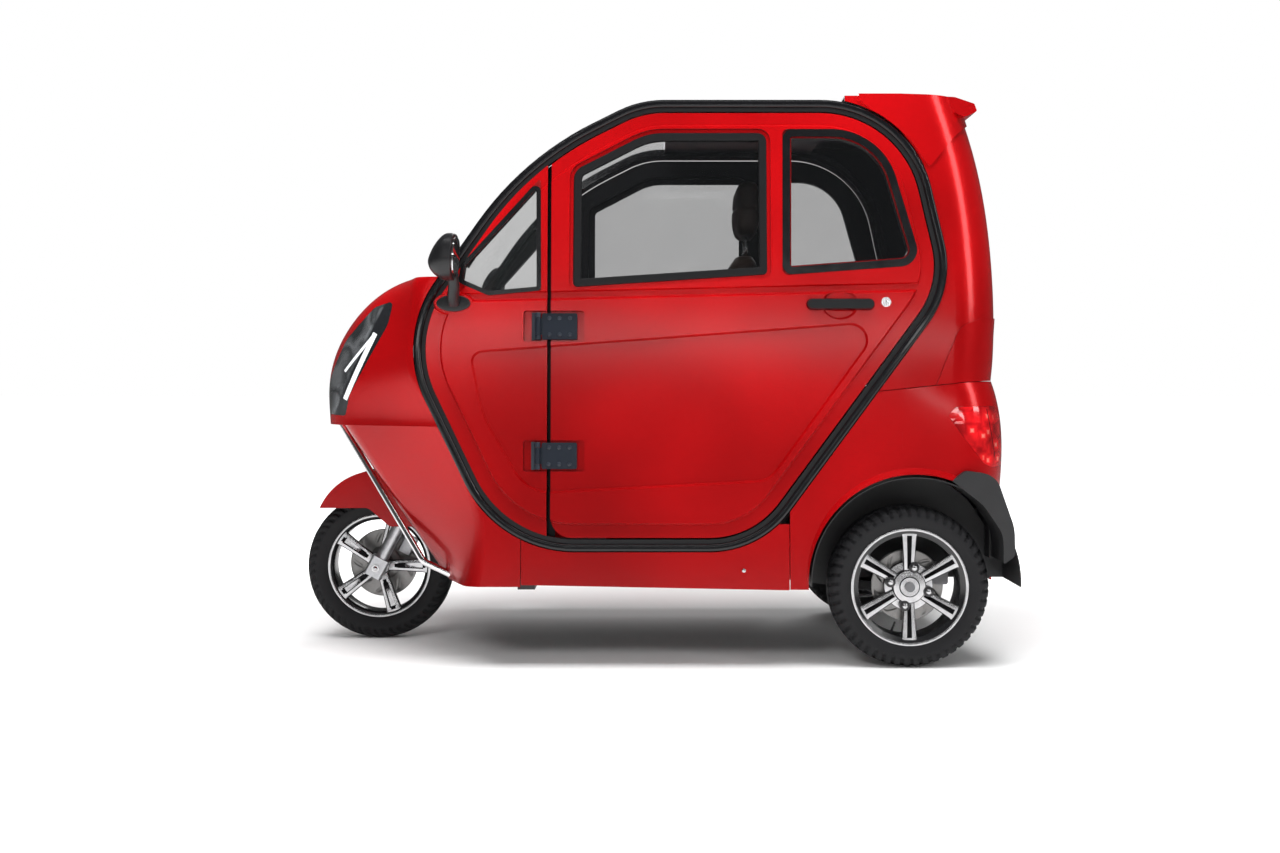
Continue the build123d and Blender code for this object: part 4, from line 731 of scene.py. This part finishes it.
def makeWheel(name, kind, centre, body, node, hand, material):
    # barrel and hub are turned profiles; a spoke is a rounded bar along r:
    # (r, s, y) = (r, w(r) cos v to the power 0.5, face(r) + thick (1 - sin v to the power 0.35)),
    # grooved on its outer face where |s| < slot(r)
    cfg, bar = wheelShapes[kind], spokeShape
    lip, seat, half, hub, face = (cfg[key] for key in ("lip", "seat", "half", "hub", "face"))
    barrel = [
        (seat - 0.005, -half + 0.014), (seat - 0.006, 0), (seat - 0.005, half - 0.012),
        (lip - 0.007, half - 0.001), (lip - 0.004, half), (lip, half - 0.001), (lip, half - 0.004),
        (seat - 0.0004, half - 0.012), (seat - 0.0004, -half + 0.012), (lip, -half + 0.004),
        (lip, -half + 0.0005), (lip - 0.002, -half), (lip - 0.006, -half), (lip - 0.009, -half + 0.002),
        (seat - 0.004, -half + 0.010),
    ]
    barrel = [(r, y * hand) for r, y in barrel]
    grids = [revolveGrid(barrel + barrel[:1], centre, 192)]
    r = np.linspace(hub - 0.006, seat + 0.006, bar["rings"])[:, None]
    v = anglesOf(bar["sides"])[None]
    share = (r - r[0]) / (r[-1] - r[0])
    wide = cfg["foot"] + (cfg["wide"] - cfg["foot"]) * share**1.5
    s = wide / 2 * signedPower(np.cos(v), 0.5)
    outer = face + cfg["dish"] * (1 - share) ** 1.2 * 0.6
    thick = bar["thick"] * (1 - 0.75 * np.clip((r - seat + 0.006) / 0.004, 0, 1))
    y = outer + thick - thick * signedPower(np.sin(v), 0.35)
    edge = rampUp(np.minimum(share - 0.16, 0.90 - share), 0, 0.06)
    slotHalf = cfg["slot"] * (0.75 + 0.6 * share) * np.sqrt(edge)
    pocket = rampUp(slotHalf - np.abs(s), 0, bar["grooveEdge"]) * (edge > 0) * (np.sin(v) > 0)
    y = y + bar["groove"] * pocket
    for k in range(cfg["spokes"]):
        turn = cfg["phase"] + 2 * np.pi * k / cfg["spokes"]
        x = r * np.cos(turn) - s * np.sin(turn)
        z = r * np.sin(turn) + s * np.cos(turn)
        grid = np.stack([x, hand * y, z], -1) + np.array(centre)
        first, last = (np.repeat(end[None], bar["sides"], 1) for end in grid.mean(1, keepdims=True)[[0, -1]])
        grids.append(np.concatenate([first, grid, last]))
    if kind == "rear":
        core = [
            (0, face - 0.004), (0.027, face - 0.004), (0.0285, face - 0.002), (0.029, face + 0.001),
            (0.030, face - 0.001), (0.046, face + 0.001), (0.049, face + 0.005), (0.050, face + 0.016),
            (0.070, face + 0.018), (0.072, face + 0.022), (0.070, 0.010), (0.020, 0.012), (0, 0.012),
        ]
    else:
        core = [
            (0, face + 0.002), (0.012, face + 0.002), (0.024, face + 0.004), (0.034, face + 0.010),
            (hub, 0.0), (hub - 0.004, 0.036), (0.012, 0.038), (0, 0.038),
        ]
    grids.append(revolveGrid([(q, w * hand) for q, w in core], centre, 96))
    piece = buildPiece(name, grids, material, body, crease=34)
    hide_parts(node)


discSettings = {
    "front": dict(inner=0.052, outer=0.110, y=0.045, slots=9),
    "rear": dict(inner=0.058, outer=0.105, y=-0.0065, slots=10),
}


def makeDisc(name, kind, centre, body, hand):
    # brake disc 4 mm thick with a rounded rim and slots that are hollows 1.6 mm deep, on a turned hat
    cfg = discSettings[kind]
    inner, outer, y = cfg["inner"], cfg["outer"], cfg["y"] * hand
    flat = np.linspace(inner + 0.004, outer - 0.004, 22)
    radii = np.array([inner, inner, inner + 0.001, *flat, outer - 0.001, outer, outer])[:, None]
    rise = np.array([0, 0.0012, 0.002, *np.full(22, 0.002), 0.002, 0.0012, 0])[:, None]
    t = anglesOf(288)[None]
    share = (radii - inner) / (outer - inner)
    wave = np.cos(cfg["slots"] * (t + 0.5 * share))
    hollow = rampUp(wave, 0.78, 0.1) * rampUp(np.minimum(share - 0.3, 0.86 - share), 0, 0.06)
    upper = np.stack([radii * np.cos(t), rise - 0.0016 * hollow, radii * np.sin(t)], -1)
    lower = upper * (1, -1, 1)
    ring = np.concatenate([upper, lower[::-1]]) + np.array((centre[0], centre[1] + y, centre[2]))
    hat = [
        (0.016, 0.004), (inner - 0.004, 0.004), (inner + 0.003, 0.003), (inner + 0.003, -0.003),
        (inner - 0.006, -0.008), (0.016, -0.008), (0.016, 0.004),
    ]
    grids = [ring, revolveGrid([(q, w + y) for q, w in hat], centre, 96)]
    buildPiece(name, grids, discSteel, body, wrapU=True, crease=40)


lugSettings = dict(
    turns=(76, 166, 256, 346), ring=0.057, face=-0.050, wellDepth=0.012, wellFoot=0.0005,
    wellRadius=(0.0150, 0.0150, 0.0140), boltRadius=0.0098, boltHeight=0.0095,
)
valveSettings = dict(
    foot=(-0.050, -0.036, -0.128), bends=((0, 0, 0), (0.004, -0.004, 0.012), (0.008, -0.008, 0.026)),
    radius=(0.0035, 0.003, 0.0032),
)


def makeLugs(side, hand, centre, body):
    cfg = lugSettings
    bolts, wells = [], []
    for turn in np.radians(cfg["turns"]):
        around = (cfg["ring"] * math.cos(turn), cfg["face"] * hand, cfg["ring"] * math.sin(turn))
        foot = np.array(centre) + around
        well = [foot + (0, cfg["wellDepth"] * hand, 0), foot, foot - (0, cfg["wellFoot"] * hand, 0)]
        wells.append(tubeGrid(well, cfg["wellRadius"], 32))
        bolts.append(domeGrid(foot, (0, -hand, 0), cfg["boltRadius"], cfg["boltHeight"], 24))
    buildPiece("lugWells_" + side, wells, pocketBlack, body, crease=40)
    buildPiece("lugBolts_" + side, bolts, boltSteel, body, crease=40)


def makeValve(side, hand, centre, body):
    mirrored = (1, hand, 1)
    foot = np.array(centre) + np.array(valveSettings["foot"]) * mirrored
    stem = [foot + np.array(bend) * mirrored for bend in valveSettings["bends"]]
    tube = tubeGrid(stem, valveSettings["radius"])
    buildPiece("tyreValve_" + side, [tube], windowRubber, body)


nutSettings = dict(out=-0.101, root=0.001, height=0.007, radius=0.0125, cap=(0.0072, 0.005))


def makeAxleNut():
    # a hexagon on the fork's left foot with a small domed end
    cfg = nutSettings
    nut = np.array(frontCentre) + (0, cfg["out"], 0)
    top = nut - (0, cfg["height"], 0)
    hexagon = tubeGrid([nut + (0, cfg["root"], 0), top], cfg["radius"], 6)
    cap = domeGrid(top, (0, -1, 0), *cfg["cap"])
    buildPiece("frontAxleNut", [hexagon, cap], boltSteel, "steering", crease=30)


discSteel = makeMetal("discSteel", (0.27, 0.265, 0.26), 0.30, 0.38, 70)
boltSteel = makeMetal("boltSteel", (0.66, 0.66, 0.67), 0.16, 0.28, 220)
makeTyre("frontTyreTread", "front", frontCentre, "front_wheel", "front_tyre")
makeWheel("frontWheelCast", "front", frontCentre, "front_wheel", "front_rim", 1, frontMachined)
makeDisc("frontBrakeDisc", "front", frontCentre, "front_wheel", 1)
for side, hand in (("left", 1), ("right", -1)):
    centre = (rearCentre[0], -rearCentre[1] * hand, rearCentre[2])
    wheelBody = "rear_wheel_" + side
    makeTyre("rearTyreTread_" + side, "rear", centre, wheelBody, "rear_tyre_" + side)
    makeWheel("rearWheelCast_" + side, "rear", centre, wheelBody, "rear_rim_" + side, hand, rearMachined)
    makeDisc("rearBrakeDisc_" + side, "rear", centre, wheelBody, hand)
    makeLugs(side, hand, centre, wheelBody)
    makeValve(side, hand, centre, wheelBody)
makeAxleNut()
print("wheels made")


mirrorSettings = dict(
    centre=(-0.5330, 0.612, 1.182), half=(0.060, 0.078, 0.066), lean=0.004, back=0.26,
    glassCentre=(-0.5160, 0.612, 1.184), glassHalf=(0.066, 0.052), glassDeep=0.003,
    foot=(-0.539, 1.058), footHalf=(0.049, 0.024),
    footRows=((0, 0.0195), (0.86, 0.0195), (0.97, 0.0180), (1, 0.0155), (1, 0.0112), (0, 0.0112)),
    neckFoot=(-0.537, 1.060), neckRise=(0.016, 0.012),
    neckBends=((-0.530, 0.562, 1.100), (-0.528, 0.590, 1.135)), neckRadius=(0.019, 0.004),
    screwX=(-0.574, -0.504), screw=(0.0055, 0.0035),
)


def makeMirror(hand):
    # housing: superellipsoid with a flat rear face; its front draws back above and below by
    # 1 - 0.42 (z + 0.2)^1.3 - 0.45 (-z)^3, each bracket counted only where it is positive
    cfg = mirrorSettings
    side = sideNameOf(hand)
    u = np.linspace(-np.pi / 2, np.pi / 2, 41)[:, None]
    v = anglesOf(64, -np.pi)[None]
    z = signedPower(np.sin(u), 0.75) * np.ones_like(v)
    ring = signedPower(np.cos(u), 0.6)
    x = ring * signedPower(np.cos(v), 0.75)
    y = ring * signedPower(np.sin(v), 0.7)
    front = 1 - 0.42 * np.clip(z + 0.2, 0, 2) ** 1.3 - 0.45 * np.clip(-z, 0, 1) ** 3
    x = np.where(x > 0, cfg["back"] * signedPower(ring * np.abs(np.cos(v)), 0.3), x * front)
    px = cfg["centre"][0] + cfg["half"][0] * x + cfg["lean"] * z
    py = cfg["centre"][1] + cfg["half"][1] * y * (1 - 0.22 * np.clip(-z, 0, 1) ** 2)
    pz = cfg["centre"][2] + cfg["half"][2] * z
    grids = [np.stack([px, hand * py, pz], -1)]
    base = onSide(cfg["neckFoot"], 0.018, hand)
    bends = [(x, hand * y, z) for x, y, z in cfg["neckBends"]]
    neck = np.array([base, base + (0, hand * cfg["neckRise"][0], cfg["neckRise"][1]), *bends])
    k = np.linspace(0, 1, 24)
    path = bendThrough(k, np.linspace(0, 1, 4), neck)
    grids.append(tubeGrid(path, cfg["neckRadius"][0] - cfg["neckRadius"][1] * k, 24))
    t = anglesOf(48)
    (footX, footZ), (halfX, halfZ) = cfg["foot"], cfg["footHalf"]
    rows = []
    for grow, out in cfg["footRows"]:
        oval = np.stack([footX + halfX * grow * np.cos(t), footZ + halfZ * grow * np.sin(t)], -1)
        rows.append(onSide(oval, out, hand))
    grids.append(np.array(rows))
    piece = buildPiece("mirrorHousing_" + side, grids, satinBlack, "body", crease=50)
    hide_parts("mirrors")
    ring = np.linspace(0, 1, 8)[:, None]
    (glassX, glassY, glassZ), (wide, high) = cfg["glassCentre"], cfg["glassHalf"]
    gy = glassY + wide * ring * signedPower(np.cos(v), 0.7)
    gz = glassZ + high * ring * signedPower(np.sin(v), 0.7)
    gx = glassX + cfg["lean"] * (gz - cfg["centre"][2]) / cfg["half"][2]
    rear = np.stack([gx, hand * gy, gz], -1)
    deep = rear - np.array((cfg["glassDeep"], 0, 0))
    glass = [np.concatenate([rear, deep[::-1]])]
    buildPiece("mirrorGlass_" + side, glass, chromeSteel, "body", crease=50)
    feet = [onSide((x, footZ), 0.0150, hand) for x in cfg["screwX"]]
    screws = [domeGrid(foot, (0, hand, 0.05), *cfg["screw"]) for foot in feet]
    buildPiece("mirrorScrews_" + side, screws, boltSteel, "body")


def ringStrip(corners, width, out, depth, hand):
    # a flat band from a rounded outline to the same outline moved inwards by the width
    outline = roundedPath(corners)
    centre = outline.mean(0)
    ahead = np.roll(outline, -1, 0) - np.roll(outline, 1, 0)
    normal = np.stack([-ahead[:, 1], ahead[:, 0]], -1)
    normal /= np.linalg.norm(normal, axis=1)[:, None] + 1e-12
    normal *= np.sign(((centre - outline) * normal).sum(1))[:, None]
    section = ((0, out - depth), (0, out), (width, out), (width, out - depth), (0, out - depth))
    return np.array([onSide(outline + normal * inward, level, hand) for inward, level in section])


# pane corners are (x, height, rounding) in the side plane
sideSettings = dict(
    rearPane=[(0.415, 1.141, 0.030), (0.822, 1.171, 0.050), (0.706, 1.570, 0.195), (0.417, 1.570, 0.030)],
    quarterPane=[
        (-0.527, 1.120, 0.016), (-0.440, 1.082, 0.030), (-0.286, 1.096, 0.016), (-0.288, 1.428, 0.016),
        (-0.519, 1.172, 0.018),
    ],
    fritOut=0.0045, fritDepth=0.0006, hingeZ=(0.992, 0.617), boltX=(-0.262, -0.232, -0.202),
    boltZ=(-0.024, 0.024), boltOut=0.0022, bolt=(0.0062, 0.003), lock=(0.714, 1.062), lockOut=0.0142,
    keyHalf=0.006, keyRadius=0.0012, sillScrew=(0.300, 0.5445, 0.288), sillBolt=(0.006, 0.003),
)


def makeSideDetails(hand):
    cfg = sideSettings
    side = sideNameOf(hand)
    door = "door_" + side
    frits = (("rearPane", 0.022, door), ("quarterPane", 0.013, "body"))
    for label, width, carrier in frits:
        band = ringStrip(cfg[label], width, cfg["fritOut"], cfg["fritDepth"], hand)
        buildPiece(label + "Frit_" + side, [band], glossBlack, carrier, crease=30)
    places = [(x, z + dz) for z in cfg["hingeZ"] for x in cfg["boltX"] for dz in cfg["boltZ"]]
    feet = [onSide(place, cfg["boltOut"], hand) for place in places]
    screws = [domeGrid(foot, (0, hand, 0.05), *cfg["bolt"]) for foot in feet]
    buildPiece("hingeBolts_" + side, screws, hingeGrey, door)
    lock = onSide(cfg["lock"], cfg["lockOut"], hand)
    keyway = tubeGrid([lock + (0, 0, -cfg["keyHalf"]), lock + (0, 0, cfg["keyHalf"])], cfg["keyRadius"], 8)
    buildPiece("lockKeyway_" + side, [keyway], windowRubber, door)
    x, y, z = cfg["sillScrew"]
    sillScrew = domeGrid((x, hand * y, z), (0, hand, 0), *cfg["sillBolt"])
    buildPiece("sillScrew_" + side, [sillScrew], boltSteel, "body")


wiperSettings = dict(
    screenX=(-0.56, -0.50, -0.44, -0.40, -0.357, -0.30), screenZ=(1.167, 1.253, 1.337, 1.385, 1.430, 1.481),
    pivot=(-0.648, -0.060, 1.136), blade=(-0.545, -0.325), bladeY=(-0.085, -0.165), bladeLift=0.010,
    holder=slice(8, 32), holderLift=0.009, joint=20, armLift=0.026, armBow=0.012, knee=(0.012, -0.004, 0.030),
    bladeRadius=0.0042, holderRadius=0.0045, armRadius=0.0058, cap=(0.017, 0.022), capSink=0.004,
)


def makeWiper():
    # the blade lies along the screen at a small lift; the arm runs from the cowl to the blade's middle
    cfg = wiperSettings
    away = np.array((-0.8, 0, 0.6))
    k = np.linspace(0, 1, 40)[:, None]
    bladeX = cfg["blade"][0] + (cfg["blade"][1] - cfg["blade"][0]) * k
    bladeY = cfg["bladeY"][0] + (cfg["bladeY"][1] - cfg["bladeY"][0]) * k
    screen = np.concatenate([bladeX, bladeY, np.interp(bladeX, cfg["screenX"], cfg["screenZ"])], 1)
    blade = screen + away * cfg["bladeLift"]
    held = screen[cfg["holder"]]
    holder = held + away * (cfg["bladeLift"] + cfg["holderLift"] * np.sin(np.pi * k[:len(held)]))
    pivot = np.array(cfg["pivot"])
    joint = screen[cfg["joint"]] + away * cfg["armLift"]
    knee = pivot + cfg["knee"]
    reach = knee + (joint - knee) * k + away * cfg["armBow"] * np.sin(np.pi * k)
    arm = np.concatenate([pivot + (knee - pivot) * k[:-1], reach, joint - away * cfg["armBow"] * k[1:]])
    grids = [
        tubeGrid(blade, cfg["bladeRadius"], 10), tubeGrid(holder, cfg["holderRadius"], 10),
        tubeGrid(arm, cfg["armRadius"], 12),
        domeGrid(pivot - (0, 0, cfg["capSink"]), (-0.1, 0, 1), *cfg["cap"]),
    ]
    piece = buildPiece("wiperArm", grids, satinBlack, "body")
    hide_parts("wiper")


# offsets here are (along the fork's rake, sideways, up)
gripSettings = dict(
    rake=27.7, stem=0.85, end=(0.060, 0.290), inner=(0.024, 0.181), ribs=17, radius=0.0168, ribHeight=0.0007,
    collar=0.003, leverRadius=(0.0055, 0.0015),
    leverRow=((0.012, 0, 0), (0.035, 0.02, -0.004), (0.042, -0.01, -0.012)),
)


def makeGrips():
    # ribbed sleeves over the bar ends and short levers ahead of them, on the steering
    cfg = gripSettings
    rake = math.radians(cfg["rake"])
    along, up = np.array((math.cos(rake), 0, -math.sin(rake))), np.array((math.sin(rake), 0, math.cos(rake)))
    origin = np.array(frontCentre) + up * cfg["stem"]
    for hand in (-1, 1):
        side = sideNameOf(hand)
        end, inner = (
            origin + along * ahead + np.array((0, hand * out, 0)) for ahead, out in (cfg["end"], cfg["inner"])
        )
        k = np.linspace(0, 1, 90)
        path = end + (inner - end) * k[:, None]
        ribs = cfg["ribHeight"] * np.cos(k * 2 * np.pi * cfg["ribs"])
        radius = cfg["radius"] + ribs + cfg["collar"] * np.exp(-(((k - 0.97) / 0.02) ** 2))
        buildPiece("handGrip_" + side, [tubeGrid(path, radius, 24)], windowRubber, "steering")
        starts = zip((inner, inner, end), cfg["leverRow"])
        lever = np.array([start - along * back + (0, hand * y, z) for start, (back, y, z) in starts])
        q = np.linspace(0, 1, 24)
        radius = cfg["leverRadius"][0] - cfg["leverRadius"][1] * q
        tube = tubeGrid(bendThrough(q, (0, 0.25, 1), lever), radius, 12)
        buildPiece("brakeLever_" + side, [tube], boltSteel, "steering")


for handSide in (-1, 1):
    makeMirror(handSide)
    makeSideDetails(handSide)
makeWiper()
makeGrips()
print("fittings made")


def superBox(low, high, power, slant=0.0):
    # closed form |x/a|^n + |y/b|^n + |z/c|^n = 1 between two corners, leaned by slant metres from foot to top
    low, high = np.array(low), np.array(high)
    u = np.linspace(-np.pi / 2, np.pi / 2, 33)[:, None]
    v = anglesOf(64, -np.pi)[None]
    x = signedPower(np.cos(u), power) * signedPower(np.cos(v), power)
    y = signedPower(np.cos(u), power) * signedPower(np.sin(v), power)
    z = signedPower(np.sin(u), power) * np.ones_like(v)
    grid = np.stack([x, y, z], -1) * (high - low) / 2 + (high + low) / 2
    grid[..., 0] += slant * z * 0.5
    return grid


puffSettings = dict(frames=20, voxel=0.0100, quality=4, mass=0.3, pressure=4)


def puff(piece, cap):
    cfg = puffSettings
    scene = bpy.context.scene
    bpy.context.view_layer.objects.active = piece
    remesh = piece.modifiers.new("remesh", "REMESH")
    remesh.mode = "VOXEL"
    remesh.voxel_size = cfg["voxel"]
    bpy.ops.object.modifier_apply(modifier="remesh")
    start = readPoints(piece.data)
    cloth = piece.modifiers.new("cloth", "CLOTH")
    cloth.settings.quality = cfg["quality"]
    cloth.settings.mass = cfg["mass"]
    cloth.settings.use_pressure = True
    cloth.settings.uniform_pressure_force = cfg["pressure"]
    cloth.settings.effector_weights.gravity = 0
    cloth.point_cache.frame_start = 1
    cloth.point_cache.frame_end = cfg["frames"]
    for step in range(1, cfg["frames"] + 1):
        scene.frame_set(step)
    evaluated = piece.evaluated_get(bpy.context.evaluated_depsgraph_get())
    shift = readPoints(evaluated.data) - start
    piece.modifiers.remove(cloth)
    length = np.linalg.norm(shift, axis=1)[:, None] + 1e-9
    start = start + shift / length * np.minimum(length, cap)
    scene.frame_set(1)
    piece.data.vertices.foreach_set("co", start.ravel())
    soften = piece.modifiers.new("round", "SUBSURF")
    soften.levels = soften.render_levels = 1
    bpy.ops.object.modifier_apply(modifier="round")


seamSettings = dict(depth=0.005, width=0.005)


def sewChannels(piece, axis, count, low, high):
    # seams across the pad at evenly spaced planes: depth * exp(-(d / width)^2) towards the middle of the pad
    mesh = piece.data
    co, no = readPoints(mesh), readPoints(mesh, "normal")
    place = (co[:, axis] - low) / (high - low) * count
    away = np.abs(place - np.round(place)) * (high - low) / count
    inner = (np.round(place) > 0.5) & (np.round(place) < count - 0.5)
    seam = np.exp(-((away / seamSettings["width"]) ** 2)) * inner
    co = co - no * (seamSettings["depth"] * seam)[:, None]
    mesh.vertices.foreach_set("co", co.ravel())
    mesh.update()


def makeCushion(name, parts, node, axis, count, cap, fill=0.7):
    # parts are superBox grids already inset from the CAD solid, joined by the remesh
    piece = buildPiece(name, parts, brownLeather, "body")
    puff(piece, cap)
    low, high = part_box(node)
    sewChannels(piece, axis, count, low[axis], high[axis])
    shadeSmooth(piece.data)
    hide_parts(node)
    print(name, len(piece.data.polygons))


def padFrom(node, inset=0.013):
    low, high = (np.array(corner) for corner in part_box(node))
    return superBox(low + inset, high - inset, 0.36)


# each pad: its grids, the solid it stands for, the axis its seams step along, channels, farthest move
cushions = dict(
    driverSeatPad=([padFrom("driver_seat_cushion")], "driver_seat_cushion", 1, 5, 0.014),
    driverBackPad=(
        [
            superBox((0.262, -0.236, 0.590), (0.342, 0.236, 1.240), 0.34, slant=0.055),
            superBox((0.305, -0.118, 1.292), (0.378, 0.118, 1.474), 0.42, slant=0.006),
        ],
        "driver_backrest", 2, 9, 0.011,
    ),
    rearBenchPad=([padFrom("rear_bench_cushion")], "rear_bench_cushion", 1, 6, 0.014),
    rearBackPad=(
        [superBox((0.912, -0.306, 0.514), (0.978, 0.306, 1.066), 0.36, slant=0.012)],
        "rear_backrest", 2, 6, 0.011,
    ),
)
for name, row in cushions.items():
    makeCushion(name, *row)


posts = [tubeGrid([(0.338, y, 1.20), (0.340, y, 1.32)], 0.006, 16) for y in (-0.06, 0.06)]
buildPiece("headrestPosts", posts, chromeSteel, "body")
print("cushions made")


camSettings = dict(place=(0.039, -4.55, 0.838), lens=39.26, shift=(-0.0102, -0.0371))


def makeCamera():
    data = bpy.data.cameras.new("camera")
    data.sensor_width = 36
    data.lens = camSettings["lens"]
    data.shift_x, data.shift_y = camSettings["shift"]
    data.clip_end = 100
    camera = bpy.data.objects.new("camera", data)
    camera.location = camSettings["place"]
    camera.rotation_euler = (math.pi / 2, 0, 0)
    bpy.context.scene.collection.objects.link(camera)
    bpy.context.scene.camera = camera


floorSettings = dict(
    half=60.0, colour=(0.86, 0.86, 0.86), rough=0.9, squeeze=0.62, fadeFrom=0.9, fadeTo=2.6, lift=0.02,
)


def makeFloor():
    # pale floor; away from the object it glows white to the camera, so only the soft shadow is grey
    cfg = floorSettings
    half = cfg["half"]
    mesh = bpy.data.meshes.new("floor")
    corners = [(-half, -half, 0), (half, -half, 0), (half, half, 0), (-half, half, 0)]
    mesh.from_pydata(corners, [], [(0, 1, 2, 3)])
    floor = bpy.data.objects.new("floor", mesh)
    bpy.context.scene.collection.objects.link(floor)
    mat, shader = newMaterial("studioFloor", cfg["colour"], cfg["rough"], specular=0.0)
    shader.inputs["Emission Color"].default_value = (1, 1, 1, 1)
    _, x, y, _ = objectPlace(mat)
    flat = addNode(mat, "CombineXYZ")
    link(times(x, cfg["squeeze"]), flat.inputs[0])
    link(y, flat.inputs[1])
    reach = addNode(mat, "VectorMath", operation="LENGTH")
    link(flat.outputs[0], reach.inputs[0])
    far = smoothMask(reach.outputs["Value"], cfg["fadeFrom"], cfg["fadeTo"])
    glow = plus(far, cfg["lift"])
    link(times(seenMask(mat), glow), shader.inputs["Emission Strength"])
    mesh.materials.append(mat)


worldSettings = dict(seen=1.0, diffuse=0.10, glossy=0.08)


def makeWorld():
    # white where the camera looks past the object, dim in reflections so the paint stays deep
    cfg = worldSettings
    world = bpy.data.worlds.new("studio")
    bpy.context.scene.world = world
    world.use_nodes = True
    background = world.node_tree.nodes["Background"]
    background.inputs["Color"].default_value = (1, 1, 1, 1)
    path = addNode(world, "LightPath")
    dim = mixValue(path.outputs["Is Glossy Ray"], cfg["diffuse"], cfg["glossy"])
    link(mixValue(seenMask(world), dim, cfg["seen"]), background.inputs["Strength"])


# area lamps: where, aimed at, width and height, power, and whether reflections show them
lampSettings = dict(
    topSoft=dict(place=(0.0, -0.9, 4.6), target=(0, -0.2, 0.6), size=(5.4, 3.0), power=380, glossy=False),
    sideKey=dict(place=(-1.6, -5.2, 4.0), target=(0.2, 0, 0.9), size=(2.2, 1.2), power=105, glossy=False),
    beltStrip=dict(place=(0.2, -5.8, 1.70), target=(0.2, 0, 1.25), size=(6.0, 0.16), power=20, glossy=True),
    rearFill=dict(place=(3.9, -2.4, 2.8), target=(0.6, 0, 0.9), size=(0.9, 2.6), power=40, glossy=True),
    roofStrip=dict(place=(-0.2, -2.2, 4.4), target=(-0.2, -0.4, 1.4), size=(4.2, 0.5), power=30, glossy=True),
    backRim=dict(place=(0.5, 4.0, 3.4), target=(0, 0, 1.0), size=(3.0, 3.0), power=90, glossy=True),
)


def makeLamp(name, cfg):
    data = bpy.data.lights.new(name, "AREA")
    data.shape = "RECTANGLE"
    data.size, data.size_y = cfg["size"]
    data.energy = cfg["power"]
    lamp = bpy.data.objects.new(name, data)
    lamp.location = cfg["place"]
    direction = np.array(cfg["target"]) - np.array(cfg["place"])
    lamp.rotation_euler = Vector(direction).to_track_quat("-Z", "Y").to_euler()
    bpy.context.scene.collection.objects.link(lamp)
    lamp.visible_camera = False
    lamp.visible_glossy = cfg["glossy"]


makeCamera()
makeFloor()
makeWorld()
for name, cfg in lampSettings.items():
    makeLamp(name, cfg)
bpy.context.scene.view_settings.view_transform = "Standard"
print("studio ready")
